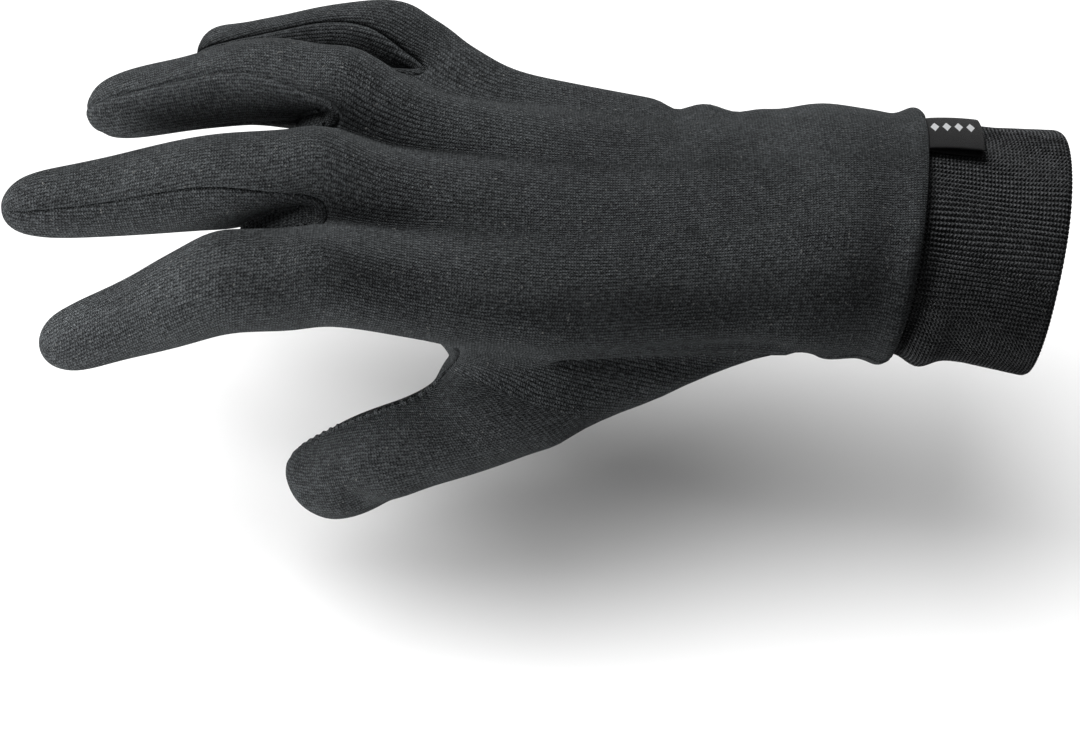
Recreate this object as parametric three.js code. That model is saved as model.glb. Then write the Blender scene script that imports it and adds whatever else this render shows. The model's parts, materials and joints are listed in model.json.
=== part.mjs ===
// A knitted glove liner for the right hand, in the form that a hand gives it, palm down.
// The origin is the middle of the cuff's mouth. +X points out of the mouth along the forearm, the
// fingertips lie towards -X, +Z comes out of the back of the hand, and the thumb is on the -Y side.
import * as THREE from 'three';

// Cloth and seams. All lengths are millimetres, and all angles degrees.
const WALL = 1.2;
const SEAM_GAP = 0.3;

// Hand, from the cuff's seam to the crotches of the fingers
const PALM_LENGTH = 132;
const PALM_THICKNESS = 31;
const WRIST_WIDTH = 66;
const WRIST_THICKNESS = 47;

// Middle finger, which the other fingers are shares of
const FINGER_LENGTH = 74;
const FINGER_WIDTH = 20.2;
const FINGER_DEPTH = 19.5;

// Thumb, from the root of its metacarpal
const THUMB_LENGTH = 95;
const THUMB_WIDTH = 20.5;
const THUMB_DEPTH = 20;

// Cuff of rib knit, folded double at the mouth
const CUFF_LENGTH = 34;
const CUFF_TUCK = 5;
const CUFF_WIDTH = 61;
const CUFF_THICKNESS = 43;
const CUFF_WALL = 2.2;
const CUFF_SLANT = 0.06;
const RIB_COUNT = 72;
const RIB_HEIGHT = 0.5;

// Folded label, sewn into the cuff's seam, with its place on the cuff in degrees from the little
// finger's side towards the back
const LABEL_LENGTH = 12.5;
const LABEL_WIDTH = 13;
const LABEL_THICKNESS = 0.5;
const LABEL_RISE = 1.8;
const LABEL_TURN = 66;

// How the hand runs from the hem to the crotches. at is the way there, palm how far the section has
// gone from the wrist's width and thickness to the palm's, width and thick what it has of those, and
// aside and lift move its middle, as shares of the palm's thickness.
const HAND_ROWS = [
  { at: 0.015, palm: 0.00, width: 1.01, thick: 1.01, aside: 0.00, lift: 0.00 },
  { at: 0.055, palm: 0.05, width: 0.94, thick: 0.98, aside: -0.02, lift: 0.00 },
  { at: 0.12, palm: 0.14, width: 0.94, thick: 1.00, aside: -0.02, lift: 0.00 },
  { at: 0.22, palm: 0.40, width: 0.89, thick: 0.94, aside: -0.10, lift: -0.03 },
  { at: 0.35, palm: 0.62, width: 0.87, thick: 0.92, aside: -0.14, lift: -0.05 },
  { at: 0.48, palm: 0.80, width: 0.88, thick: 0.94, aside: -0.14, lift: -0.05 },
  { at: 0.61, palm: 0.92, width: 0.875, thick: 0.98, aside: -0.18, lift: -0.04 },
  { at: 0.77, palm: 1.00, width: 0.88, thick: 1.00, aside: -0.17, lift: -0.04 },
  { at: 0.90, palm: 1.00, width: 0.91, thick: 0.96, aside: -0.12, lift: -0.02 },
];

// The fingers in order from the thumb's side. reach is how far along the palm a finger's crotch lies,
// lift its height as a share of the palm's thickness, length and width shares of the middle finger's,
// taper what its tip has of its width, and web the gap to the next finger. spread turns it towards the
// little finger's side, drop down, roll turns its back towards that side, and the knuckles bend it
// towards the palm.
const FINGERS = [
  { name: 'index', reach: 0.99, lift: 0.12, length: 0.92, width: 1.03, taper: 0.80, web: 0.30,
    spread: -6, drop: 18, roll: -6, middleKnuckle: 12, endKnuckle: -2 },
  { name: 'middle', reach: 1.00, lift: 0.33, length: 1.00, width: 1.00, taper: 0.90, web: 0.17,
    spread: -2, drop: 17, roll: 0, middleKnuckle: 4, endKnuckle: -4 },
  { name: 'ring', reach: 0.96, lift: 0.35, length: 0.93, width: 0.97, taper: 0.98, web: 0.15,
    spread: 17, drop: 14, roll: 12, middleKnuckle: 18, endKnuckle: 2 },
  { name: 'little', reach: 0.81, lift: 0.12, length: 0.82, width: 0.87, taper: 1.00, web: 0,
    spread: 22, drop: 12, roll: 28, middleKnuckle: 16, endKnuckle: 2 },
];

// How a finger's section changes on the way to its tip. seam is how far its side seams stand from the
// middle of its side, in degrees.
const FINGER_BASE = { width: 1.00, depth: 1.00, seam: 18 };
const FINGER_ROWS = [
  { at: 0.13, width: 0.99, depth: 1.00, seam: 26 },
  { at: 0.30, width: 0.98, depth: 1.00, seam: 42 },
  { at: 0.46, width: 0.95, depth: 0.95, seam: 44 },
  { at: 0.62, width: 0.90, depth: 0.88, seam: 42 },
  { at: 0.78, width: 0.82, depth: 0.79, seam: 40 },
  { at: 0.92, width: 0.62, depth: 0.58, seam: 34 },
];

// Where a finger's ring of points lies, as angles from its little finger's side towards its back. The
// hand's own two edges have no side panel, and their points keep one even spacing.
const EDGE_SEAM = 42;

function fingerAngles(f, seam) {
  const thumbSide = f === 0 ? EDGE_SEAM : seam;
  const littleSide = f === FINGERS.length - 1 ? EDGE_SEAM : seam;
  return [180, 180 - thumbSide, 90, littleSide, 0, -littleSide, -90, thumbSide - 180];
}

const RING = { thumbSide: 0, thumbBack: 1, littleBack: 3, littleSide: 4, littlePalm: 5, thumbPalm: 7 };

// The thumb, in the same words as the fingers. Its root lies inside the palm's side. As shares of its
// width, aside moves a section towards the hand, and lean pushes the section's hand side ahead.
const THUMB = {
  reach: 0.40, across: -0.30, lift: -0.48,
  spread: -26, drop: 18, roll: -50, middleKnuckle: 22, endKnuckle: 20,
};
const THUMB_ROWS = [
  { at: 0.34, width: 1.14, depth: 1.02, aside: 0.12, lean: 0.62 },
  { at: 0.48, width: 1.04, depth: 0.98, aside: 0.03, lean: 0.30 },
  { at: 0.61, width: 0.96, depth: 0.95, aside: 0.00, lean: 0.08 },
  { at: 0.73, width: 0.93, depth: 0.95, aside: -0.01, lean: 0.00 },
  { at: 0.85, width: 0.88, depth: 0.88, aside: -0.04, lean: 0.00 },
  { at: 0.95, width: 0.66, depth: 0.62, aside: -0.05, lean: 0.00 },
];
const THUMB_RING = [22, -5, -32, -60, -90, -120, -150, 180, 150, 120, 88, 56];

// The cuff from its hidden end to its mouth, outside, and back inside. at is the way from the mouth, as
// a share of the length that shows, size its girth, depth the way through its wall, and rib the ribs.
const CUFF_ROWS = [
  { at: 2.00, size: 0.98, depth: 0.0, rib: 1 },
  { at: 0.45, size: 0.98, depth: 0.0, rib: 1 },
  { at: 0.05, size: 1.03, depth: 0.0, rib: 1 },
  { at: 0.00, size: 1.03, depth: 0.5, rib: 0 },
  { at: 0.05, size: 1.03, depth: 1.0, rib: 0 },
  { at: 2.00, size: 0.98, depth: 1.0, rib: 0 },
];

// The middle line of the label's ribbon, as shares of its length and of its rise
const LABEL_FOLD = [
  { along: 0.00, rise: 0.40 },
  { along: 0.10, rise: 0.12 },
  { along: 0.50, rise: 0.02 },
  { along: 0.90, rise: 0.00 },
  { along: 0.97, rise: 0.18 },
  { along: 1.00, rise: 0.50 },
  { along: 0.97, rise: 0.82 },
  { along: 0.90, rise: 1.00 },
  { along: 0.50, rise: 0.94 },
  { along: 0.10, rise: 0.66 },
];

// The palm's columns run from the thumb's side over the back to the little finger's side, and return
// under the palm: three for each finger both ways, and one on each side.
const COLUMNS_PER_FINGER = 3;
const BACK_COLUMNS = FINGERS.length * COLUMNS_PER_FINGER;
const LITTLE_SIDE = BACK_COLUMNS + 1;
const COLUMNS = 2 * LITTLE_SIDE;

// The thumb's hole, in rows and columns of the palm
const THUMB_HOLE = { fromRow: 4, toRow: 8, fromColumn: COLUMNS - 3, toColumn: COLUMNS - 1 };

// Powers of the sections' outlines, where 2 is an ellipse and more is squarer
const WRIST_POWER = 2;
const PALM_POWER = 2.3;
const FINGER_POWER = 2.1;

// How late a palm section turns into the fingers' own rings: on the back, in the palm, at the edges
const BACK_FADE = 2;
const PALM_FADE = 4;
const EDGE_FADE = 6;

// Where along a finger its two knuckles bend it
const MIDDLE_KNUCKLE = { from: 0.24, to: 0.46 };
const END_KNUCKLE = { from: 0.58, to: 0.78 };

// Steps along a finger's centre line, and rounds of fitting the cage to its sections
const PATH_STEPS = 40;
const PUSHES = 6;

const radians = THREE.MathUtils.degToRad;
const { lerp, smoothstep } = THREE.MathUtils;

// A point on a finger's rounded section
function sectionPoint(frame, width, depth, degrees) {
  const across = Math.cos(radians(degrees));
  const back = Math.sin(radians(degrees));
  const bulge = value => Math.sign(value) * Math.abs(value) ** (2 / FINGER_POWER);
  return frame.centre.clone()
    .addScaledVector(frame.across, bulge(across) * width / 2)
    .addScaledVector(frame.back, bulge(back) * depth / 2);
}

// The centre line of a finger or of the thumb, with its own across and back directions
function fingerPath(base, length, pose) {
  const spread = radians(pose.spread);
  const drop = radians(pose.drop);
  const level = Math.cos(drop);
  const start = new THREE.Vector3(
    -Math.cos(spread) * level, Math.sin(spread) * level, -Math.sin(drop));
  const across = new THREE.Vector3(Math.sin(spread), Math.cos(spread), 0)
    .applyAxisAngle(start, radians(pose.roll));
  const bend = at => pose.middleKnuckle * smoothstep(at, MIDDLE_KNUCKLE.from, MIDDLE_KNUCKLE.to)
    + pose.endKnuckle * smoothstep(at, END_KNUCKLE.from, END_KNUCKLE.to);
  const aheadAt = at => start.clone().applyAxisAngle(across, -radians(bend(at)));
  return at => {
    const centre = base.clone();
    for (let step = 0; step < PATH_STEPS; step++) {
      centre.addScaledVector(aheadAt(at * (step + 0.5) / PATH_STEPS), length * at / PATH_STEPS);
    }
    const ahead = aheadAt(at);
    const back = new THREE.Vector3().crossVectors(across, ahead);
    return { centre, ahead, across: across.clone(), back };
  };
}

// The cage of the hand: points, and four-sided faces that each belong to a panel
const cage = { points: [], faces: [] };

function addPoint(point) {
  cage.points.push(point);
  return cage.points.length - 1;
}

function addFace(panel, corners) {
  cage.faces.push({ panel, corners });
}

// Joins two rings of points, and leaves out the faces that panelOf gives no panel
function joinRings(near, far, panelOf) {
  near.forEach((corner, k) => {
    const next = (k + 1) % near.length;
    const panel = panelOf(k);
    if (panel) addFace(panel, [corner, far[k], far[next], near[next]]);
  });
}

// Closes a finger's end with faces that all meet at its tip, and the first of them starts on a seam
function closeTip(ring, tip, first, panelOf) {
  for (let k = first; k < ring.length; k += 2) {
    addFace(panelOf(k), [tip, ring[(k + 2) % ring.length], ring[(k + 1) % ring.length], ring[k]]);
  }
}

// The fingers' roots side by side, from the middle of the hand
function layOutFingers() {
  let edge = 0;
  const widths = FINGERS.map(finger => finger.width * FINGER_WIDTH);
  const middles = FINGERS.map((finger, f) => {
    const middle = edge + widths[f] / 2;
    edge += widths[f] + finger.web * FINGER_WIDTH;
    return middle;
  });
  return { middles: middles.map(middle => middle - edge / 2), widths, width: edge };
}

const crotch = layOutFingers();
const PALM_WIDTH = crotch.width;

const fingerPaths = FINGERS.map((finger, f) => {
  const base = new THREE.Vector3(
    -CUFF_LENGTH - finger.reach * PALM_LENGTH, crotch.middles[f], finger.lift * PALM_THICKNESS);
  return fingerPath(base, finger.length * FINGER_LENGTH, finger);
});

function fingerRing(f, at, row) {
  const { width, taper } = FINGERS[f];
  const size = width * lerp(1, taper, at);
  const frame = fingerPaths[f](at);
  return fingerAngles(f, row.seam).map(angle =>
    sectionPoint(frame, size * row.width * FINGER_WIDTH, size * row.depth * FINGER_DEPTH, angle));
}

// The palm's columns that a finger stands on: its ring without the sides that face another finger
function fingerColumns(f) {
  const back = 1 + COLUMNS_PER_FINGER * f;
  const palm = LITTLE_SIDE + 1 + COLUMNS_PER_FINGER * (FINGERS.length - 1 - f);
  const first = f === 0;
  const last = f === FINGERS.length - 1;
  return [first ? 0 : null, back, back + 1, back + 2,
    last ? LITTLE_SIDE : null, palm, palm + 1, palm + 2];
}

// The last row of the palm is the fingers' first rings
const baseRings = FINGERS.map((finger, f) => fingerRing(f, 0, FINGER_BASE));
const baseRow = [];
const columnShares = [];
baseRings.forEach((ring, f) => {
  const angles = fingerAngles(f, FINGER_BASE.seam);
  fingerColumns(f).forEach((column, k) => {
    if (column === null) return;
    baseRow[column] = ring[k];
    const place = crotch.middles[f] + Math.cos(radians(angles[k])) * crotch.widths[f] / 2;
    columnShares[column] = place / PALM_WIDTH;
  });
});

// Where a column stands on a section: how far across, from -0.5 to 0.5, and how far up or down
function columnPlace(column, power) {
  const share = columnShares[column];
  const side = column % LITTLE_SIDE === 0 ? 0 : column < LITTLE_SIDE ? 1 : -1;
  const edge = Math.min(1, Math.abs(2 * share));
  return { share, side, rise: side * (1 - edge ** power) ** (1 / power) };
}

// A palm section's point in a column. The section fades into the fingers' own rings on the way to the
// crotches, early on the back, but late at the edges and in the palm.
function palmPoint(row, column) {
  const { share, side, rise } = columnPlace(column, lerp(WRIST_POWER, PALM_POWER, row.palm));
  const width = row.width * lerp(WRIST_WIDTH, PALM_WIDTH, row.palm);
  const thick = row.thick * lerp(WRIST_THICKNESS, PALM_THICKNESS, row.palm);
  const last = baseRow[column];
  const flat = columnPlace(column, PALM_POWER).rise * PALM_THICKNESS / 2;
  const fade = row.at ** lerp(side > 0 ? BACK_FADE : PALM_FADE, EDGE_FADE, (2 * share) ** 4);
  return new THREE.Vector3(
    -CUFF_LENGTH + row.at * (last.x + CUFF_LENGTH),
    share * width + row.aside * PALM_THICKNESS + fade * (last.y - share * PALM_WIDTH),
    rise * thick / 2 + row.lift * PALM_THICKNESS + fade * (last.z - flat));
}

// Leans a point of the wrist, because the cuff reaches further up the forearm behind than in front
function leaned(point, share = 1) {
  point.x += share * CUFF_SLANT * (point.y + point.z);
  return point;
}

// The hem closes in on the cuff, which it is sewn to
function hemPoint(column) {
  const { share, rise } = columnPlace(column, WRIST_POWER);
  const clear = RIB_HEIGHT + SEAM_GAP + WALL;
  return leaned(new THREE.Vector3(
    -CUFF_LENGTH, share * (CUFF_WIDTH + 2 * clear), rise * (CUFF_THICKNESS / 2 + clear)));
}

const columns = [...baseRow.keys()];
const grid = [columns.map(column => addPoint(hemPoint(column)))];
HAND_ROWS.forEach(row => grid.push(columns.map(column =>
  addPoint(leaned(palmPoint(row, column), (1 - row.at) ** 3)))));
grid.push(columns.map(column => addPoint(baseRow[column])));

function palmPanel(row, column) {
  const inHole = row >= THUMB_HOLE.fromRow && row < THUMB_HOLE.toRow
    && column >= THUMB_HOLE.fromColumn && column < THUMB_HOLE.toColumn;
  if (inHole) return null;
  return column < LITTLE_SIDE || column === COLUMNS - 1 ? 'back_panel' : 'palm_panel';
}

for (let row = 0; row + 1 < grid.length; row++) {
  joinRings(grid[row], grid[row + 1], column => palmPanel(row, column));
}

// Fingers, with the crotches between them
const sidePanels = ['fourchette_index_middle', 'fourchette_middle_ring', 'fourchette_ring_little'];
const fingerRings = baseRings.map((ring, f) => {
  const columnsOf = fingerColumns(f);
  return ring.map((point, k) =>
    columnsOf[k] === null ? addPoint(point) : grid[grid.length - 1][columnsOf[k]]);
});

// The panel between two neighbours of a finger's ring
function fingerPanel(f, k) {
  const toThumb = f > 0 ? sidePanels[f - 1] : 'back_panel';
  const toLittle = f < FINGERS.length - 1 ? sidePanels[f] : null;
  return [toThumb, 'back_panel', 'back_panel', toLittle ?? 'back_panel',
    toLittle ?? 'palm_panel', 'palm_panel', 'palm_panel', toThumb][k];
}

FINGERS.forEach((finger, f) => {
  let near = fingerRings[f];
  for (const row of FINGER_ROWS) {
    const far = fingerRing(f, row.at, row).map(addPoint);
    joinRings(near, far, k => fingerPanel(f, k));
    near = far;
  }
  closeTip(near, addPoint(fingerPaths[f](1).centre), RING.thumbBack, k => fingerPanel(f, k));
});

// Each crotch is two faces, from one finger's ring to the next one's
sidePanels.forEach((panel, f) => {
  const near = fingerRings[f];
  const next = fingerRings[f + 1];
  addFace(panel, [near[RING.littleBack], near[RING.littleSide], next[RING.thumbSide], next[RING.thumbBack]]);
  addFace(panel, [near[RING.littleSide], near[RING.littlePalm], next[RING.thumbPalm], next[RING.thumbSide]]);
});

// Thumb
const thumbPath = fingerPath(
  new THREE.Vector3(
    -CUFF_LENGTH - THUMB.reach * PALM_LENGTH, THUMB.across * PALM_WIDTH, THUMB.lift * PALM_THICKNESS),
  THUMB_LENGTH, THUMB);

// The hole's edge in the order of the thumb's ring: far end, palm side, near end and back side
function thumbHoleEdge() {
  const { fromRow, toRow, fromColumn, toColumn } = THUMB_HOLE;
  const edge = [];
  for (let column = toColumn; column > fromColumn; column--) edge.push(grid[toRow][column]);
  for (let row = toRow; row > fromRow; row--) edge.push(grid[row][fromColumn]);
  for (let column = fromColumn; column < toColumn; column++) edge.push(grid[fromRow][column]);
  for (let row = fromRow; row < toRow; row++) edge.push(grid[row][toColumn]);
  return edge;
}

// The thumb's back is cut in one with the hand's, so a seam runs down each of its sides
function thumbPanel(k) {
  return k < THUMB_RING.length / 2 ? 'thumb_palm' : 'back_panel';
}

let thumbNear = thumbHoleEdge();
for (const row of THUMB_ROWS) {
  const frame = thumbPath(row.at);
  frame.centre.addScaledVector(frame.across, row.aside * THUMB_WIDTH);
  frame.across.addScaledVector(frame.ahead, 2 * row.lean / row.width);
  const far = THUMB_RING.map(angle =>
    addPoint(sectionPoint(frame, row.width * THUMB_WIDTH, row.depth * THUMB_DEPTH, angle)));
  joinRings(thumbNear, far, thumbPanel);
  thumbNear = far;
}
closeTip(thumbNear, addPoint(thumbPath(1).centre), 0, thumbPanel);

// Who each point's neighbours are: along edges, and across faces
function neighbours({ points, faces }) {
  const rows = points.map(() => ({ near: new Set(), across: [], open: new Set() }));
  const uses = new Map();
  faces.forEach(({ corners }) => corners.forEach((a, k) => {
    const b = corners[(k + 1) % 4];
    const key = a < b ? `${a} ${b}` : `${b} ${a}`;
    uses.set(key, (uses.get(key) ?? 0) + 1);
    rows[a].near.add(b);
    rows[b].near.add(a);
    rows[a].across.push(corners[(k + 2) % 4]);
  }));
  for (const [key, count] of uses) {
    if (count > 1) continue;
    const [a, b] = key.split(' ').map(Number);
    rows[a].open.add(b);
    rows[b].open.add(a);
  }
  return rows;
}

// Where each point comes to lie on the smooth surface that the cage stands for (Catmull and Clark's)
function smoothed(mesh) {
  const sum = ids => [...ids].reduce((total, id) => total.add(mesh.points[id]), new THREE.Vector3());
  return neighbours(mesh).map(({ near, across, open }, id) => {
    const own = mesh.points[id].clone();
    if (open.size) return own.multiplyScalar(4).add(sum(open)).divideScalar(6);
    const n = near.size;
    return own.multiplyScalar(n * n).addScaledVector(sum(near), 4).add(sum(across))
      .divideScalar(n * (n + 5));
  });
}

// Pushes the cage out until its smooth surface passes close to the sections it was made from
function fitCage(mesh) {
  const wanted = mesh.points.map(point => point.clone());
  for (let push = 0; push < PUSHES; push++) {
    smoothed(mesh).forEach((point, id) => mesh.points[id].add(wanted[id]).sub(point));
  }
}

// One round of subdivision: every face becomes four
function refine(mesh) {
  const points = [];
  const push = point => points.push(point) - 1;
  const average = list =>
    list.reduce((total, point) => total.add(point), new THREE.Vector3()).divideScalar(list.length);
  const edges = new Map();
  const centres = mesh.faces.map(({ corners }) => average(corners.map(id => mesh.points[id])));
  const touching = mesh.points.map(() => []);
  mesh.faces.forEach(({ corners }, f) => corners.forEach((a, k) => {
    const b = corners[(k + 1) % 4];
    const key = a < b ? `${a} ${b}` : `${b} ${a}`;
    if (!edges.has(key)) edges.set(key, { ends: [a, b], faces: [] });
    edges.get(key).faces.push(f);
    touching[a].push(f);
  }));
  const rows = neighbours(mesh);
  const corner = rows.map(({ near, open }, id) => {
    const own = mesh.points[id];
    if (open.size) {
      const ends = [...open].map(other => mesh.points[other]);
      return push(average([own, own, own, own, own, own, ...ends]));
    }
    const n = near.size;
    const faceMean = average(touching[id].map(f => centres[f]));
    const middles = [...near].map(other => mesh.points[other].clone().add(own).divideScalar(2));
    const edgeMean = average(middles);
    return push(faceMean.addScaledVector(edgeMean, 2).addScaledVector(own, n - 3).divideScalar(n));
  });
  for (const edge of edges.values()) {
    const ends = edge.ends.map(id => mesh.points[id]);
    const sides = edge.faces.length > 1 ? edge.faces.map(f => centres[f]) : [];
    edge.point = push(average([...ends, ...sides]));
  }
  const edgePoint = (a, b) => edges.get(a < b ? `${a} ${b}` : `${b} ${a}`).point;
  const faces = mesh.faces.flatMap(({ panel, corners }, f) => {
    const middle = push(centres[f]);
    return corners.map((a, k) => ({
      panel,
      corners: [
        corner[a],
        edgePoint(a, corners[(k + 1) % 4]),
        middle,
        edgePoint(corners[(k + 3) % 4], a),
      ],
    }));
  });
  return { points, faces };
}

// The direction out of the cloth at each point
function outward({ points, faces }) {
  const normals = points.map(() => new THREE.Vector3());
  faces.forEach(({ corners }) => {
    const [a, b, c, d] = corners.map(id => points[id]);
    const normal = new THREE.Vector3().crossVectors(c.clone().sub(a), d.clone().sub(b));
    corners.forEach(id => normals[id].add(normal));
  });
  return normals.map(normal => normal.normalize());
}

// One panel as a solid: its outside, its inside a wall below, and an edge all round that stands back
// from the seam by half the gap
function panelSolid(mesh, normals, panel) {
  const faces = mesh.faces.filter(face => face.panel === panel).map(face => face.corners);
  const directed = new Set();
  faces.forEach(corners => corners.forEach((a, k) => directed.add(`${a} ${corners[(k + 1) % 4]}`)));
  const rim = [...directed].map(key => key.split(' ').map(Number))
    .filter(([a, b]) => !directed.has(`${b} ${a}`));
  const inwards = new Map();
  rim.forEach(([a, b]) => {
    const along = mesh.points[b].clone().sub(mesh.points[a]);
    [a, b].forEach(id => {
      const inward = new THREE.Vector3().crossVectors(normals[id], along).normalize();
      inwards.set(id, [...(inwards.get(id) ?? []), inward]);
    });
  });
  const index = new Map();
  const positions = [];
  const put = (id, depth) => {
    const point = mesh.points[id].clone().addScaledVector(normals[id], -depth);
    const [first, second] = inwards.get(id) ?? [];
    if (first) point.addScaledVector(first.clone().add(second), SEAM_GAP / 2 / (1 + first.dot(second)));
    positions.push(...point.toArray());
    return positions.length / 3 - 1;
  };
  faces.flat().forEach(id => {
    if (!index.has(id)) index.set(id, { outer: put(id, 0), inner: put(id, WALL) });
  });
  const triangles = [];
  const square = (a, b, c, d) => triangles.push(a, b, c, a, c, d);
  faces.forEach(corners => {
    square(...corners.map(id => index.get(id).outer));
    square(...[...corners].reverse().map(id => index.get(id).inner));
  });
  rim.forEach(([a, b]) =>
    square(index.get(b).outer, index.get(a).outer, index.get(a).inner, index.get(b).inner));
  return geometryOf(positions, triangles);
}

function geometryOf(positions, triangles) {
  return new THREE.BufferGeometry()
    .setAttribute('position', new THREE.Float32BufferAttribute(positions, 3))
    .setIndex(triangles);
}

// A closed grid of points, round both ways, as a solid
function ringSolid(rows) {
  const wide = rows[0].length;
  const positions = rows.flat().flatMap(point => point.toArray());
  const triangles = [];
  rows.forEach((row, r) => row.forEach((point, k) => {
    const nextRow = (r + 1) % rows.length * wide;
    const next = (k + 1) % wide;
    const [a, b, c, d] = [r * wide + k, nextRow + k, nextRow + next, r * wide + next];
    triangles.push(a, c, b, a, d, c);
  }));
  return geometryOf(positions, triangles);
}

// A point on the cuff: its place along it, how far round, and how high over its outside
function cuffPoint(at, turn, size, height) {
  const angle = 2 * Math.PI * turn;
  return leaned(new THREE.Vector3(
    -at * CUFF_LENGTH,
    (size * CUFF_WIDTH / 2 + height) * Math.cos(angle),
    (size * CUFF_THICKNESS / 2 + height) * Math.sin(angle)));
}

function cuff() {
  const steps = [...Array(2 * RIB_COUNT).keys()];
  const end = 1 + CUFF_TUCK / CUFF_LENGTH;
  return ringSolid(CUFF_ROWS.map(row => steps.map(step => cuffPoint(
    Math.min(row.at, end), step / steps.length, row.size,
    (step % 2 ? 0 : row.rib * RIB_HEIGHT) - row.depth * CUFF_WALL))));
}

// A label: a ribbon that comes out of the cuff's seam, folds over and returns to it
function label() {
  const loop = LABEL_FOLD.map(({ along, rise }) =>
    new THREE.Vector2(along * LABEL_LENGTH, LABEL_THICKNESS / 2 + SEAM_GAP + rise * LABEL_RISE));
  const girth = Math.PI * (CUFF_WIDTH + CUFF_THICKNESS) / 2;
  const turnAt = side => LABEL_TURN / 360 + side * LABEL_WIDTH / girth;
  return ringSolid(loop.map((point, k) => {
    const along = loop[(k + 1) % loop.length].clone().sub(loop.at(k - 1)).normalize();
    const corner = (side, depth) => cuffPoint(
      1 - (SEAM_GAP + LABEL_THICKNESS / 2 + point.x + along.y * depth) / CUFF_LENGTH,
      turnAt(side), 1, RIB_HEIGHT + point.y - along.x * depth);
    const half = LABEL_THICKNESS / 2;
    return [corner(0.5, half), corner(0, half), corner(-0.5, half),
      corner(-0.5, -half), corner(0, -half), corner(0.5, -half)];
  }));
}

const CLOTH_COLOUR = 0x2b2c2e;
const LABEL_COLOUR = 0x5b5c5e;
const glove = new THREE.Group();

function addMesh(name, geometry, colour, roughness) {
  const mesh = new THREE.Mesh(geometry, new THREE.MeshStandardMaterial({ color: colour, roughness }));
  mesh.name = name;
  glove.add(mesh);
}

fitCage(cage);
const hand = refine(cage);
hand.points = smoothed(hand);
const handNormals = outward(hand);
for (const panel of ['back_panel', 'palm_panel', 'thumb_palm', ...sidePanels]) {
  addMesh(panel, panelSolid(hand, handNormals, panel), CLOTH_COLOUR, 0.95);
}
addMesh('cuff', cuff(), CLOTH_COLOUR, 0.95);
addMesh('label', label(), LABEL_COLOUR, 0.7);

export default glove;
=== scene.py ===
import json
import math

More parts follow.
